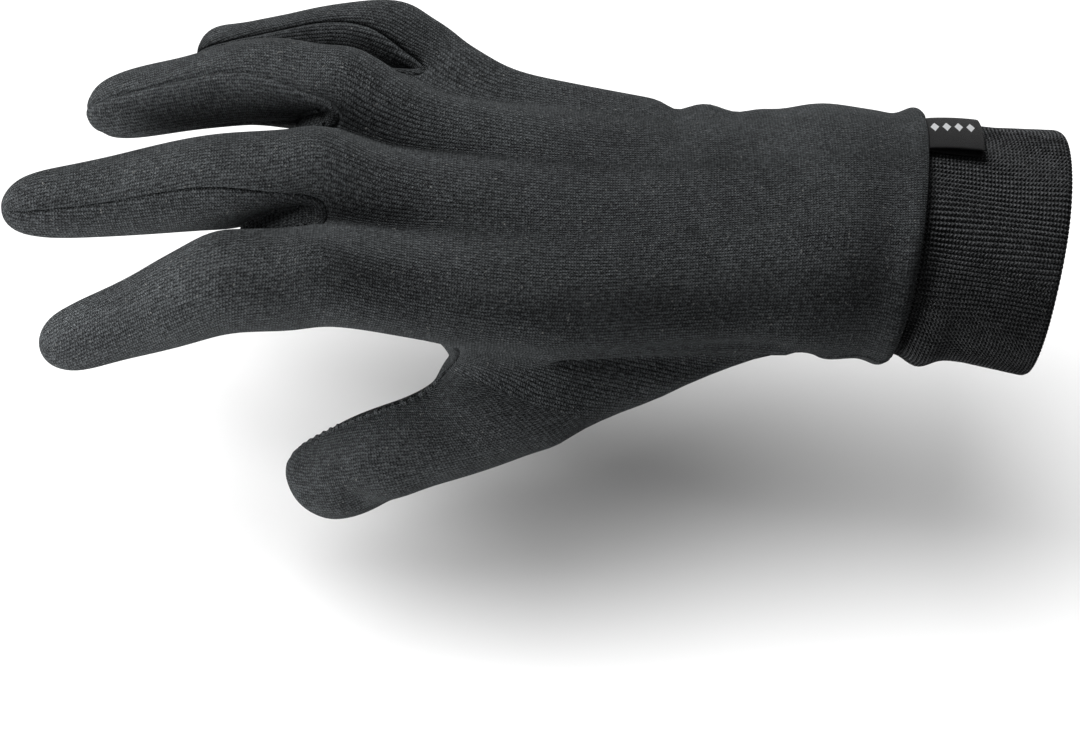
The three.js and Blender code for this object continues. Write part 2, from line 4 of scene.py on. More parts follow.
import bpy
import numpy as np
from mathutils import Matrix, Vector
from mathutils.kdtree import KDTree
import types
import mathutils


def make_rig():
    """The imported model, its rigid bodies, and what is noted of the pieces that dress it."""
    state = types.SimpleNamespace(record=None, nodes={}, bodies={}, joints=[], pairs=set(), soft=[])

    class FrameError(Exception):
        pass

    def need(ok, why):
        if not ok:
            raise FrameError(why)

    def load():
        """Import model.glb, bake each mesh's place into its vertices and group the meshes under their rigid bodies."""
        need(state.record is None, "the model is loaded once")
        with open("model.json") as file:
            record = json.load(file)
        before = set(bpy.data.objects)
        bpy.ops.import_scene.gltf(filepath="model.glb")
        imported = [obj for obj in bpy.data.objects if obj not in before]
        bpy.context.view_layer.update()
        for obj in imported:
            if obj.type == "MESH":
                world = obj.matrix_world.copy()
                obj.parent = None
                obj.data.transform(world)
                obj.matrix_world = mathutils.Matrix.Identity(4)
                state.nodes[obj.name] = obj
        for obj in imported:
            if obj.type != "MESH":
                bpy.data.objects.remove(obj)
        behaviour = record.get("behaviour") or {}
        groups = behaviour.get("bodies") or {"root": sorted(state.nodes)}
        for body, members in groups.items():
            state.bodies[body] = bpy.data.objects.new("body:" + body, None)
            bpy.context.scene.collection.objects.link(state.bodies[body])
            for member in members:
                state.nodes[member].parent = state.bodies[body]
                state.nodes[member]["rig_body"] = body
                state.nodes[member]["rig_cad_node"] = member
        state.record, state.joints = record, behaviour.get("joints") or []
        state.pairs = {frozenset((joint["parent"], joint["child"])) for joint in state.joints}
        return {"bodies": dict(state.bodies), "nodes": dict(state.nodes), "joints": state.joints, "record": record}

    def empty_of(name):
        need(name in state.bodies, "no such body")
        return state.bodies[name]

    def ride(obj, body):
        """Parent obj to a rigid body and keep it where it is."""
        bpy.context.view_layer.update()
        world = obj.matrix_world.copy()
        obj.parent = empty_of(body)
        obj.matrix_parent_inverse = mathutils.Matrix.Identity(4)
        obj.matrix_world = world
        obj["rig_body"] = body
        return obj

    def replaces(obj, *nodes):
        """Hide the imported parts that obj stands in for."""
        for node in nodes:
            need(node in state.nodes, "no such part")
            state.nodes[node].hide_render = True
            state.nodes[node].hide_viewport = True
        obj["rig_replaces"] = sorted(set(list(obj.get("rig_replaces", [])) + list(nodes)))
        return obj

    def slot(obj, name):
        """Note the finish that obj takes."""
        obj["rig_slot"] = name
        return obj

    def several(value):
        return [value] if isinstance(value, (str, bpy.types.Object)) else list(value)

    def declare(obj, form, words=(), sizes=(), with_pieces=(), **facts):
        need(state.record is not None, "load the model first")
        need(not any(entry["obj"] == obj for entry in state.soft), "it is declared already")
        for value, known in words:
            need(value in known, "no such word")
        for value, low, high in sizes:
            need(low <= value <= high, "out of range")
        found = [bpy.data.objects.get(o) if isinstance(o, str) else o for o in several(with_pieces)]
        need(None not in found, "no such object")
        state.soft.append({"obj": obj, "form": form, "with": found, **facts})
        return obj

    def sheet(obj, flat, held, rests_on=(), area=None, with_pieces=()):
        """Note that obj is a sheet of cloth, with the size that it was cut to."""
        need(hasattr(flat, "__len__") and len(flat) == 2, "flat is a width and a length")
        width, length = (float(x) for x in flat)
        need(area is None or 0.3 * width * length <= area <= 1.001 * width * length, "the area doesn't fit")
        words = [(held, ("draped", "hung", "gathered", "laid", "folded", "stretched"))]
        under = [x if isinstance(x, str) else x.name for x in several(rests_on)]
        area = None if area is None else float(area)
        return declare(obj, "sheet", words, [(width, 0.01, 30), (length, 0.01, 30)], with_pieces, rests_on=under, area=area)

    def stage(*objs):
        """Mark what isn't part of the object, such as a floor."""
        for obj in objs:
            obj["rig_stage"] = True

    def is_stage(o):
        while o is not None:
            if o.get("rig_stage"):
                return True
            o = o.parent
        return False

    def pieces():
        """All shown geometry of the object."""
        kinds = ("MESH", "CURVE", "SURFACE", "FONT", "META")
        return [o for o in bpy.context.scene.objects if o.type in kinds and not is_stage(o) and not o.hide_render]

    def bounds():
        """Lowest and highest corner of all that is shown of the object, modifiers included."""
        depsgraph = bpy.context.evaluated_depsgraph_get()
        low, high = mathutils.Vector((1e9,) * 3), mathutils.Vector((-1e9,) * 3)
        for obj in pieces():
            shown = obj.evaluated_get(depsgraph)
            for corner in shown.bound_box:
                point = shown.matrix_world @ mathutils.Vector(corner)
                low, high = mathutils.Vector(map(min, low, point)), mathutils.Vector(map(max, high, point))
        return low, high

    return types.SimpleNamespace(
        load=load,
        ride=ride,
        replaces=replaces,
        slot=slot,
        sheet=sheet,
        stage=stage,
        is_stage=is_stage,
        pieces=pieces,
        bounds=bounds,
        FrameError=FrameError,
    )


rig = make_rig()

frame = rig.load()
cad_low, cad_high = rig.bounds()

# The body: a tube of fine jersey cut as a back and a palm, in its worn form, from the hem at the wrist
# to the crotches of the fingers. It is drawn as rows of points round it, in millimetres, which the
# cloth is later stretched over.
PALM_LENGTH = 132
PALM_THICKNESS = 31
WRIST_WIDTH = 66
WRIST_THICKNESS = 47
CUFF_LENGTH = 34
CUFF_WIDTH = 61
CUFF_THICKNESS = 43
CUFF_SLANT = 0.06
RIB_HEIGHT = 0.5
CLOTH = 1.2
SEAM_GAP = 0.3
FINGER_WIDTH = 20.2
FINGER_DEPTH = 19.5
FINGER_LENGTH = 74

# One line for each row from the hem on: how far along, how much of the palm's form it has,
# width, thickness, shift aside, lift
BODY_ROWS = [
    (0.015, 0.00, 1.00, 1.01, -0.015, 0.00),
    (0.055, 0.05, 0.925, 0.98, -0.04, 0.00),
    (0.12, 0.14, 0.925, 1.00, -0.045, 0.00),
    (0.22, 0.40, 0.876, 0.94, -0.034, -0.03),
    (0.35, 0.62, 0.844, 0.92, -0.084, -0.05),
    (0.48, 0.80, 0.836, 0.94, -0.16, -0.05),
    (0.61, 0.92, 0.855, 0.98, -0.205, -0.04),
    (0.77, 1.00, 0.87, 1.00, -0.185, -0.04),
    (0.90, 1.00, 0.905, 0.96, -0.125, -0.02),
]
WRIST_POWER = 2
PALM_POWER = 2.3
BACK_FADE = 2
PALM_FADE = 4
EDGE_FADE = 6
RIDGE_FADE = 5

# One line for each finger, from the index finger's on: reach, lift, length, width, taper, web,
# spread, drop, roll, middle knuckle, end knuckle
FINGERS = [
    (0.99, 0.12, 0.918, 1.03, 0.80, 0.30, -6, 10.5, -6, 25, -2),
    (1.00, 0.27, 1.00, 1.00, 0.90, 0.17, -2, 14.5, 0, 5, -5),
    (0.96, 0.35, 0.93, 0.97, 0.98, 0.15, 17, 14, 12, 18, 2),
    (0.81, 0.00, 0.82, 0.87, 1.00, 0.00, 22, 2, 28, 26, 2),
]
BASE_SEAM = 18
# How far the two seams beside a web draw together at its end, and how far the end runs in
WEB_PINCH = 0.12
WEB_ROUND = 0.3
# Where a finger meets the web beside it, on the back, in the middle and on the palm: how far out
# along the finger, and degrees up or down its side. One line for each web, from the index finger's on.
WEBS = [
    ((0.01, 10), (0.12, 0), (0.25, 38)),
    ((0.01, 10), (0.06, 0), (0.14, 38)),
    ((0.00, 8), (0.05, 0), (0.08, 38)),
]
EDGE_SEAM = 42
FINGER_POWER = 2.1
# Between which two places along a finger each knuckle bends
MIDDLE_KNUCKLE = (0.24, 0.46)
END_KNUCKLE = (0.58, 0.78)
PATH_STEPS = 40
# The least reach of a web, and how far out along a finger it still draws the rows with it
WEB_LEAST = 0.06
WEB_EFFECT = 0.5
ARCH_PASSES = 3
BACK_COLUMNS = 3 * len(FINGERS)
LITTLE_SIDE = BACK_COLUMNS + 1
COLUMNS = 2 * LITTLE_SIDE
BACK, PALM, THUMB_FRONT, SIDES = 0, 1, 2, (3, 4, 5)

cage_points = []
cage_faces = []


def add_point(point):
    cage_points.append(np.array(point, float))
    return len(cage_points) - 1


def ease(x, low, high):
    t = min(1, max(0, (x - low) / (high - low)))
    return t * t * (3 - 2 * t)


def turned(v, axis, angle):
    return np.array(Matrix.Rotation(angle, 3, Vector(axis)) @ Vector(v))


def finger_path(base, length, spread, drop, roll, middle_knuckle, end_knuckle):
    """Gives the middle and the three directions of a finger at any place along it."""
    spread, drop = math.radians(spread), math.radians(drop)
    start = np.array([-math.cos(spread) * math.cos(drop), math.sin(spread) * math.cos(drop),
                      -math.sin(drop)])
    across = turned((math.sin(spread), math.cos(spread), 0), start, math.radians(roll))

    def ahead_at(at):
        bend = middle_knuckle * ease(at, *MIDDLE_KNUCKLE) + end_knuckle * ease(at, *END_KNUCKLE)
        return turned(start, across, -math.radians(bend))

    def frame_at(at):
        centre = np.array(base, float)
        for step in range(PATH_STEPS):
            centre += ahead_at(at * (step + 0.5) / PATH_STEPS) * length * at / PATH_STEPS
        ahead = ahead_at(at)
        return centre, ahead, across.copy(), np.cross(across, ahead)

    return frame_at


def section_point(centre, across, back, width, depth, degrees):
    a, b = math.cos(math.radians(degrees)), math.sin(math.radians(degrees))
    bulge = lambda value: math.copysign(abs(value) ** (2 / FINGER_POWER), value)
    return centre + across * bulge(a) * width / 2 + back * bulge(b) * depth / 2


finger_widths = [finger[3] * FINGER_WIDTH for finger in FINGERS]
PALM_WIDTH = sum(finger_widths) + sum(finger[5] for finger in FINGERS) * FINGER_WIDTH
finger_middles = []
edge = -PALM_WIDTH / 2
for finger, wide in zip(FINGERS, finger_widths):
    finger_middles.append(edge + wide / 2)
    edge += wide + finger[5] * FINGER_WIDTH
finger_paths = [
    finger_path((-CUFF_LENGTH - finger[0] * PALM_LENGTH, middle, finger[1] * PALM_THICKNESS),
                finger[2] * FINGER_LENGTH, *finger[6:])
    for finger, middle in zip(FINGERS, finger_middles)]


def finger_angles(f, seam):
    thumb_side = EDGE_SEAM if f == 0 else seam
    little_side = EDGE_SEAM if f == len(FINGERS) - 1 else seam
    return [180, 180 - thumb_side, 90, little_side, 0, -little_side, -90, thumb_side - 180]


def web_points(f):
    """The points of a finger's ring that join a web: which, at what angle, how far out."""
    points = []
    for side, ring_points in ((f - 1, (1, 0, 7)), (f, (3, 4, 5))):
        if 0 <= side < len(WEBS):
            for k, turn, (at, degrees) in zip(ring_points, (1, 0, -1), WEBS[side]):
                angle = turn * degrees if ring_points[1] == 4 else 180 - turn * degrees
                points.append((k, angle, at))
    return points


def finger_ring(f, at, width, depth, seam):
    size = finger_widths[f] * (1 + (FINGERS[f][4] - 1) * at)
    deep = size / FINGER_WIDTH * FINGER_DEPTH
    ring = []
    for k, angle in enumerate(finger_angles(f, seam)):
        web_at = max([web[2] for web in web_points(f) if web[0] == k] + [WEB_LEAST])
        drawn_out = (web_at - WEB_LEAST) * max(0, 1 - at / WEB_EFFECT) if at else 0
        centre, _, across, back = finger_paths[f](at + drawn_out)
        ring.append(section_point(centre, across, back, size * width, deep * depth, angle))
    return ring


def base_ring(f):
    """The ring at a finger's root, drawn out where it joins a web."""
    ring = finger_ring(f, 0.0, 1.0, 1.0, BASE_SEAM)
    width = finger_widths[f]
    depth = width / FINGER_WIDTH * FINGER_DEPTH
    for k, angle, at in web_points(f):
        centre, _, across, back = finger_paths[f](at)
        ring[k] = section_point(centre, across, back, width, depth, angle)
    return ring


def finger_columns(f):
    """Which column of the body each point of a finger's root belongs to, if any."""
    back = 1 + 3 * f
    palm = LITTLE_SIDE + 1 + 3 * (len(FINGERS) - 1 - f)
    return [0 if f == 0 else None, back, back + 1, back + 2,
            LITTLE_SIDE if f == len(FINGERS) - 1 else None, palm, palm + 1, palm + 2]


base_rings = [base_ring(f) for f in range(len(FINGERS))]
for ring, beyond in zip(base_rings, base_rings[1:]):
    apart = beyond[1] - ring[3]
    ring[3] = ring[3] + apart * WEB_PINCH + np.array([WEB_ROUND, 0, 0])
    beyond[1] = beyond[1] - apart * WEB_PINCH + np.array([WEB_ROUND, 0, 0])
base_row = [None] * COLUMNS
column_share = [0.0] * COLUMNS
for f, ring in enumerate(base_rings):
    for k, column in enumerate(finger_columns(f)):
        if column is not None:
            base_row[column] = ring[k]
            angle = math.radians(finger_angles(f, BASE_SEAM)[k])
            column_share[column] = (
                finger_middles[f] + math.cos(angle) * finger_widths[f] / 2) / PALM_WIDTH


def column_place(column, power):
    share = column_share[column]
    side = 0 if column % LITTLE_SIDE == 0 else 1 if column < LITTLE_SIDE else -1
    out = min(1, abs(2 * share))
    return share, side, side * (1 - out ** power) ** (1 / power)


heights = []
for column, last in enumerate(base_row):
    heights.append(last[2] - column_place(column, PALM_POWER)[2] * PALM_THICKNESS / 2)
arch = heights
for _ in range(ARCH_PASSES):
    arch = [(arch[column - 1] + 2 * arch[column] + arch[(column + 1) % COLUMNS]) / 4
            for column in range(COLUMNS)]


def leaned(point, share=1.0):
    point[0] += share * CUFF_SLANT * (point[1] + point[2])
    return point


def hem_point(column):
    share, _, rise = column_place(column, WRIST_POWER)
    clear = RIB_HEIGHT + SEAM_GAP + CLOTH
    return leaned(np.array([-CUFF_LENGTH, share * (CUFF_WIDTH + 2 * clear),
                            rise * (CUFF_THICKNESS / 2 + clear)]))


def palm_point(row, column):
    at, palm, width, thick, aside, lift = row
    share, side, rise = column_place(column, WRIST_POWER + (PALM_POWER - WRIST_POWER) * palm)
    wide = width * (WRIST_WIDTH + (PALM_WIDTH - WRIST_WIDTH) * palm)
    deep = thick * (WRIST_THICKNESS + (PALM_THICKNESS - WRIST_THICKNESS) * palm)
    last = base_row[column]
    late = BACK_FADE if side > 0 else PALM_FADE
    fade = at ** (late + (EDGE_FADE - late) * (2 * share) ** 4)
    ridge = at ** RIDGE_FADE * (heights[column] - arch[column])
    return leaned(np.array([
        -CUFF_LENGTH + at * (last[0] + CUFF_LENGTH),
        share * wide + aside * PALM_THICKNESS + fade * (last[1] - share * PALM_WIDTH),
        rise * deep / 2 + lift * PALM_THICKNESS + fade * arch[column] + ridge]), (1 - at) ** 3)


# The cloth between thumb and index finger is drawn out towards the fingers: row, column, how far
THUMB_WEB = {(8, 24): (-1.6, 0, 0.3), (8, 25): (-1.6, 0, 0.5), (8, 0): (-1.0, 0, 0.5),
             (9, 24): (0, 0, 0.6), (9, 25): (0, 0, 0.6), (9, 0): (0, 0, 0.3)}
palm_grid = [[add_point(hem_point(column)) for column in range(COLUMNS)]]
for r, row in enumerate(BODY_ROWS, 1):
    palm_grid.append([add_point(palm_point(row, column) + np.array(THUMB_WEB.get((r, column), (0, 0, 0))))
                      for column in range(COLUMNS)])
palm_grid.append([add_point(point) for point in base_row])

# How far round the body each column of points lies, along the cloth at its widest
WIDEST_ROW = 7
around = [0.0]
for column in range(COLUMNS):
    a, b = (cage_points[palm_grid[WIDEST_ROW][(column + step) % COLUMNS]] for step in (0, 1))
    around.append(around[-1] + math.dist(a[1:], b[1:]))


def palm_place(row, column, step):
    """Where a corner of a palm face lies on the flat cloth: along the stitches, and across them."""
    back_to_start = around[COLUMNS] if column == COLUMNS - 1 else 0
    return -cage_points[palm_grid[row][(column + step) % COLUMNS]][0], around[column + step] - back_to_start


# The thumb's hole is left out of the palm: rows 4 to 8, the last two columns before the edge
HOLE_ROWS = (4, 8)
HOLE_COLUMNS = (COLUMNS - 3, COLUMNS - 1)
for row in range(len(palm_grid) - 1):
    for column in range(COLUMNS):
        if HOLE_ROWS[0] <= row < HOLE_ROWS[1] and HOLE_COLUMNS[0] <= column < HOLE_COLUMNS[1]:
            continue
        beside = (column + 1) % COLUMNS
        panel = BACK if column < LITTLE_SIDE or column == COLUMNS - 1 else PALM
        cage_faces.append((panel, [
            (palm_grid[row][column], palm_place(row, column, 0)),
            (palm_grid[row + 1][column], palm_place(row + 1, column, 0)),
            (palm_grid[row + 1][beside], palm_place(row + 1, column, 1)),
            (palm_grid[row][beside], palm_place(row, column, 1))]))

# The fingers: back and palm run out over them, and a narrow side panel of the same jersey lines the
# sides of two neighbours and crosses the web between them. All are sewn together inside out, so only
# a fine line of each seam shows.
# One line for each row from the root on: how far out, width, depth, degrees to its seams
FINGER_ROWS = [
    (0.13, 0.99, 1.00, 22),
    (0.30, 0.98, 0.98, 38),
    (0.46, 0.95, 0.91, 44),
    (0.62, 0.90, 0.84, 42),
    (0.78, 0.83, 0.77, 40),
    (0.93, 0.63, 0.60, 36),
]
WEB = 3.0


def finger_panel(f, k):
    """Which panel face k of a finger's ring is cut from."""
    to_thumb = SIDES[f - 1] if f > 0 else BACK
    to_little = SIDES[f] if f < len(FINGERS) - 1 else None
    beyond_back = BACK if to_little is None else to_little
    beyond_palm = PALM if to_little is None else to_little
    return [to_thumb, BACK, BACK, beyond_back, beyond_palm, PALM, PALM, to_thumb][k]


def finger_place(f, points, panel, k, i, along):
    """Where point i of a finger's ring lies on the flat cloth of the panel that face k belongs to."""
    gap = lambda a, b: math.dist(points[a], points[b])
    columns_of = finger_columns(f)
    if panel == BACK:
        off = {2: 0, 1: -gap(1, 2), 3: gap(2, 3), 0: -gap(1, 2) - gap(0, 1), 4: gap(2, 3) + gap(3, 4),
               7: -gap(1, 2) - gap(0, 1) - gap(7, 0)}[i]
        return -base_rings[f][i][0] + along, around[columns_of[2]] + off
    if panel == PALM:
        off = {6: 0, 5: -gap(5, 6), 4: -gap(5, 6) - gap(4, 5), 7: gap(6, 7)}[i]
        return -base_rings[f][i][0] + along, around[columns_of[6]] + off
    if k in (3, 4):
        return -along - WEB, {3: gap(3, 4), 4: 0, 5: -gap(4, 5)}[i]
    return along + WEB, {1: gap(0, 1), 0: 0, 7: -gap(7, 0)}[i]


finger_tips = []
finger_bases = []
for f, ring in enumerate(base_rings):
    finger_bases.append([add_point(point) if column is None else palm_grid[-1][column]
                         for point, column in zip(ring, finger_columns(f))])
for f, finger in enumerate(FINGERS):
    near, near_along = finger_bases[f], 0.0
    for row in FINGER_ROWS:
        far = [add_point(point) for point in finger_ring(f, *row)]
        far_along = row[0] * finger[2] * FINGER_LENGTH
        for k in range(8):
            panel, beside = finger_panel(f, k), (k + 1) % 8
            corners = []
            for ring, along, i in ((near, near_along, k), (far, far_along, k),
                                   (far, far_along, beside), (near, near_along, beside)):
                points = [cage_points[id] for id in ring]
                corners.append((ring[i], finger_place(f, points, panel, k, i, along)))
            cage_faces.append((panel, corners))
        near, near_along = far, far_along
    tip = add_point(finger_paths[f](1)[0])
    finger_tips.append(tip)
    points = [cage_points[id] for id in near]
    for k in (1, 3, 5, 7):
        panel = finger_panel(f, k)
        place = lambda i, step: finger_place(f, points, panel, (k + step) % 8, i % 8, near_along)
        middle = place(k + 1, 0)
        reach = math.copysign(math.dist(cage_points[tip], points[(k + 1) % 8]), middle[0])
        try:
            last = place(k + 2, 1 if panel in (BACK, PALM) else 0)
        except KeyError:
            last = middle
        cage_faces.append((panel, [(tip, (middle[0] + reach, middle[1])),
                                   (near[(k + 2) % 8], last),
                                   (near[(k + 1) % 8], middle),
                                   (near[k], place(k, 0))]))
for f, panel in enumerate(SIDES):
    near, beyond = finger_bases[f], finger_bases[f + 1]
    near_points = [cage_points[id] for id in near]
    beyond_points = [cage_points[id] for id in beyond]
    for (a, b), (c, d) in (((3, 4), (0, 1)), ((4, 5), (7, 0))):
        cage_faces.append((panel, [
            (near[a], finger_place(f, near_points, panel, 3, a, 0)),
            (near[b], finger_place(f, near_points, panel, 3, b, 0)),
            (beyond[c], finger_place(f + 1, beyond_points, panel, 7, c, 0)),
            (beyond[d], finger_place(f + 1, beyond_points, panel, 7, d, 0))]))

# The thumb: its back is cut in one with the back panel, so that side has no seam at its root. A palm
# half of its own closes it, set into the hole in the palm and sewn down both sides.
THUMB_LENGTH = 95
THUMB_WIDTH = 20.5
THUMB_DEPTH = 20
# One line for each row from the root on: how far out, width, depth, shift aside, lean
THUMB_ROWS = [
    (0.34, 1.14, 1.02, 0.12, 0.62),
    (0.48, 1.04, 0.98, 0.03, 0.30),
    (0.61, 0.96, 0.95, 0.00, 0.08),
    (0.73, 0.93, 0.95, -0.01, 0.00),
    (0.85, 0.97, 0.90, -0.11, 0.00),
    (0.955, 0.78, 0.68, -0.13, 0.00),
]
# Each ring has twelve faces: six for the palm half, from the upper seam to the lower, and six behind
THUMB_FACES = 12
THUMB_HALF = 6
PALM_HALF_MIDDLE = 3
BACK_HALF_MIDDLE = 9
THUMB_UPPER_SEAM = 12
THUMB_LOWER_SEAM = -150
# Where the thumb begins, as shares of the palm's length, width and thickness
THUMB_BASE = (0.40, -0.30, -0.48)
# spread, drop, roll, middle knuckle, end knuckle
THUMB_TURNS = (-26, 18, -50, 22, 20)
# How the stitches lie: askew on the back, and turned by this cosine and sine on the palm half
STITCH_SLOPE = 0.2
STITCH_TURN = (0.8, 0.6)
THUMB_EDGE_ROW = 6
THUMB_ROOT_BACK = 16
THUMB_TIP_REACH = 5
thumb_path = finger_path(
    (-CUFF_LENGTH - THUMB_BASE[0] * PALM_LENGTH,
     THUMB_BASE[1] * PALM_WIDTH,
     THUMB_BASE[2] * PALM_THICKNESS),
    THUMB_LENGTH, *THUMB_TURNS)
thumb_edge = cage_points[palm_grid[THUMB_EDGE_ROW][0]]

(from_row, to_row), (from_column, to_column) = HOLE_ROWS, HOLE_COLUMNS
near = [palm_grid[to_row][column] for column in range(to_column, from_column, -1)]
near += [palm_grid[row][from_column] for row in range(to_row, from_row, -1)]
near += [palm_grid[from_row][column] for column in range(from_column, to_column)]
near += [palm_grid[row][to_column] for row in range(from_row, to_row)]


def thumb_place(ring, k, i, along, rooted=False):
    """Where point i of the thumb's ring lies on the flat cloth of the half that face k belongs to."""
    point = cage_points[ring[i]]
    if k >= THUMB_HALF and rooted:
        return -point[0], point[2] - thumb_edge[2] + STITCH_SLOPE * (point[0] - thumb_edge[0])
    middle = BACK_HALF_MIDDLE if k >= THUMB_HALF else PALM_HALF_MIDDLE
    if k >= THUMB_HALF and i < THUMB_HALF:
        i += THUMB_FACES
    steps = range(middle, i) if i > middle else range(i, middle)
    off = sum(math.dist(cage_points[ring[s % THUMB_FACES]], cage_points[ring[(s + 1) % THUMB_FACES]])
              for s in steps)
    across = off if i > middle else -off
    if k >= THUMB_HALF:
        return along + STITCH_SLOPE * across, across - STITCH_SLOPE * along
    cosine, sine = STITCH_TURN
    return along * cosine - across * sine, across * cosine + along * sine


palm_step = (THUMB_UPPER_SEAM - THUMB_LOWER_SEAM) / THUMB_HALF
back_step = (180 - THUMB_UPPER_SEAM) / (THUMB_HALF - 1)
THUMB_RING = ([THUMB_UPPER_SEAM - palm_step * k for k in range(THUMB_HALF + 1)]
              + [180 - back_step * k for k in range(THUMB_HALF - 1)])
near_along = THUMB_ROWS[0][0] * THUMB_LENGTH - THUMB_ROOT_BACK
# The first row's three points beside the web are drawn out with it
THUMB_DRAWN_OUT = (-2.1, 0, 0.3)
for at, width, depth, aside, lean in THUMB_ROWS:
    centre, ahead, across, back = thumb_path(at)
    centre = centre + across * aside * THUMB_WIDTH
    across = across + ahead * 2 * lean / width
    far = [add_point(section_point(centre, across, back, width * THUMB_WIDTH, depth * THUMB_DEPTH, angle))
           for angle in THUMB_RING]
    if at == THUMB_ROWS[0][0]:
        for id in far[:3]:
            cage_points[id] = cage_points[id] + np.array(THUMB_DRAWN_OUT)
    far_along = at * THUMB_LENGTH
    rooted = at == THUMB_ROWS[0][0]
    for k in range(THUMB_FACES):
        beside = (k + 1) % THUMB_FACES
        cage_faces.append((THUMB_FRONT if k < THUMB_HALF else BACK, [
            (near[k], thumb_place(near, k, k, near_along, rooted)),
            (far[k], thumb_place(far, k, k, far_along, rooted)),
            (far[beside], thumb_place(far, k, beside, far_along, rooted)),
            (near[beside], thumb_place(near, k, beside, near_along, rooted))]))
    near, near_along = far, far_along
tip = add_point(thumb_path(1)[0])
finger_tips.append(tip)
for k in range(0, THUMB_FACES, 2):
    place = thumb_place(near, k, k + 1, near_along + THUMB_TIP_REACH)
    beyond = (k + 2) % THUMB_FACES
    cage_faces.append((THUMB_FRONT if k < THUMB_HALF else BACK, [
        (tip, place),
        (near[beyond], thumb_place(near, k, beyond, near_along)),
        (near[k + 1], thumb_place(near, k, k + 1, near_along)),
        (near[k], thumb_place(near, k, k, near_along))]))

# The cloth itself: six panels of fine charcoal jersey about a millimetre thick, knitted in stocking
# stitch from a melange yarn and brushed, so it is matt and a little hairy. They are stretched over the
# rows above, sink at their seams, and gather in soft folds where the wrist bends.
PUSHES = 6
CLOTH_LEVEL = 3
MM = 0.001
SEAM_DEPTH = 0.42
SEAM_WIDTH = 0.45
SEAM_WELT = 0.16
SEAM_WELT_AT = 1.3
SEAM_WELT_WIDTH = 0.6
SEAM_CLOSED = 0.03
# Towards a fingertip a seam and its welt flatten out over these lengths, down to this share
SEAM_TIP = 7
WELT_TIP = 8
SEAM_LEAST = 0.15
SEAM_SAMPLES = 7
STITCH_WIDTH = 0.72
STITCH_LENGTH = 0.62
CLOTH_DARK = (0.0030, 0.0032, 0.0036, 1)
CLOTH_LIGHT = (0.104, 0.112, 0.117, 1)
LINT_WHITE = (0.20, 0.20, 0.19, 1)
# The grain of the yarn's wander, hairs, fluff, uneven patches and lint, in lumps to the metre
WANDER_GRAIN = 260
HAIR_GRAIN = 3400
FLUFF_GRAIN = 2300
PATCH_GRAIN = 60
LINT_GRAIN = 1300
# How far the yarn wanders, as shares of a stitch's width and length
WANDER_ACROSS = 0.5
WANDER_ALONG = 0.7
# What the stitch (as painted shade in its grooves), the yarn, the fluff, the hairs and the patches give to the tone,
# and its range
STITCH_GROOVE_SHADE = 0.40
YARN_TONE = 0.34
FLUFF_TONE = 0.75
HAIR_TONE = 0.75
PATCH_TONE = 0.36
TONE_FROM = 0.92
TONE_TO = 1.78
TONE_POWER = 1.6
LINT_FROM = 0.70
LINT_TO = 0.78
LINT_SHARE = 0.6
HAIR_HEIGHT = 1.3
YARN_HEIGHT = 0.6
COOL_SHEEN = (0.72, 0.78, 0.80, 1)

neighbours_near = [set() for _ in cage_points]
neighbours_across = [[] for _ in cage_points]
edge_uses = {}
for _, corners in cage_faces:
    ids = [id for id, _ in corners]
    for k in range(4):
        a, b = ids[k], ids[(k + 1) % 4]
        neighbours_near[a].add(b)
        neighbours_near[b].add(a)
        neighbours_across[a].append(ids[(k + 2) % 4])
        edge_uses[frozenset((a, b))] = edge_uses.get(frozenset((a, b)), 0) + 1
neighbours_open = [set() for _ in cage_points]
for pair, uses in edge_uses.items():
    if uses == 1:
        a, b = pair
        neighbours_open[a].add(b)
        neighbours_open[b].add(a)


def resting_places(points):
    """Where each point comes to lie once the cloth is drawn smooth over the rows."""
    places = []
    for id, own in enumerate(points):
        if neighbours_open[id]:
            places.append((4 * own + sum(points[other] for other in neighbours_open[id])) / 6)
            continue
        n = len(neighbours_near[id])
        total = n * n * own + 4 * sum(points[other] for other in neighbours_near[id])
        total = total + sum(points[other] for other in neighbours_across[id])
        places.append(total / (n * (n + 5)))
    return np.array(places)


wanted = np.array(cage_points)
pushed = wanted.copy()
for _ in range(PUSHES):
    pushed = pushed + wanted - resting_places(pushed)

stretcher = bpy.data.meshes.new("stretched_cloth")
stretcher.from_pydata(pushed.tolist(), [], [[id for id, _ in corners] for _, corners in cage_faces])
flat = stretcher.uv_layers.new(name="flat_cloth")
flat.data.foreach_set("uv", [value for _, corners in cage_faces for _, place in corners for value in place])
panel_of_face = stretcher.attributes.new("panel", "INT", "FACE")
panel_of_face.data.foreach_set("value", [panel for panel, _ in cage_faces])
stretched = bpy.data.objects.new("stretched_cloth", stretcher)
bpy.context.scene.collection.objects.link(stretched)
smoother = stretched.modifiers.new("smooth", "SUBSURF")
smoother.levels = CLOTH_LEVEL
smoother.use_limit_surface = True
fine = stretched.evaluated_get(bpy.context.evaluated_depsgraph_get()).to_mesh()
points = np.zeros(len(fine.vertices) * 3)
fine.vertices.foreach_get("co", points)
points = points.reshape(-1, 3)
quads = np.zeros(len(fine.loops), int)
fine.loops.foreach_get("vertex_index", quads)
quads = quads.reshape(-1, 4)[:, ::-1]
quad_uv = np.zeros(len(fine.loops) * 2)
fine.uv_layers[0].data.foreach_get("uv", quad_uv)
quad_uv = quad_uv.reshape(-1, 4, 2)[:, ::-1]
quad_panel = np.zeros(len(quads), int)
fine.attributes["panel"].data.foreach_get("value", quad_panel)
bpy.data.objects.remove(stretched)


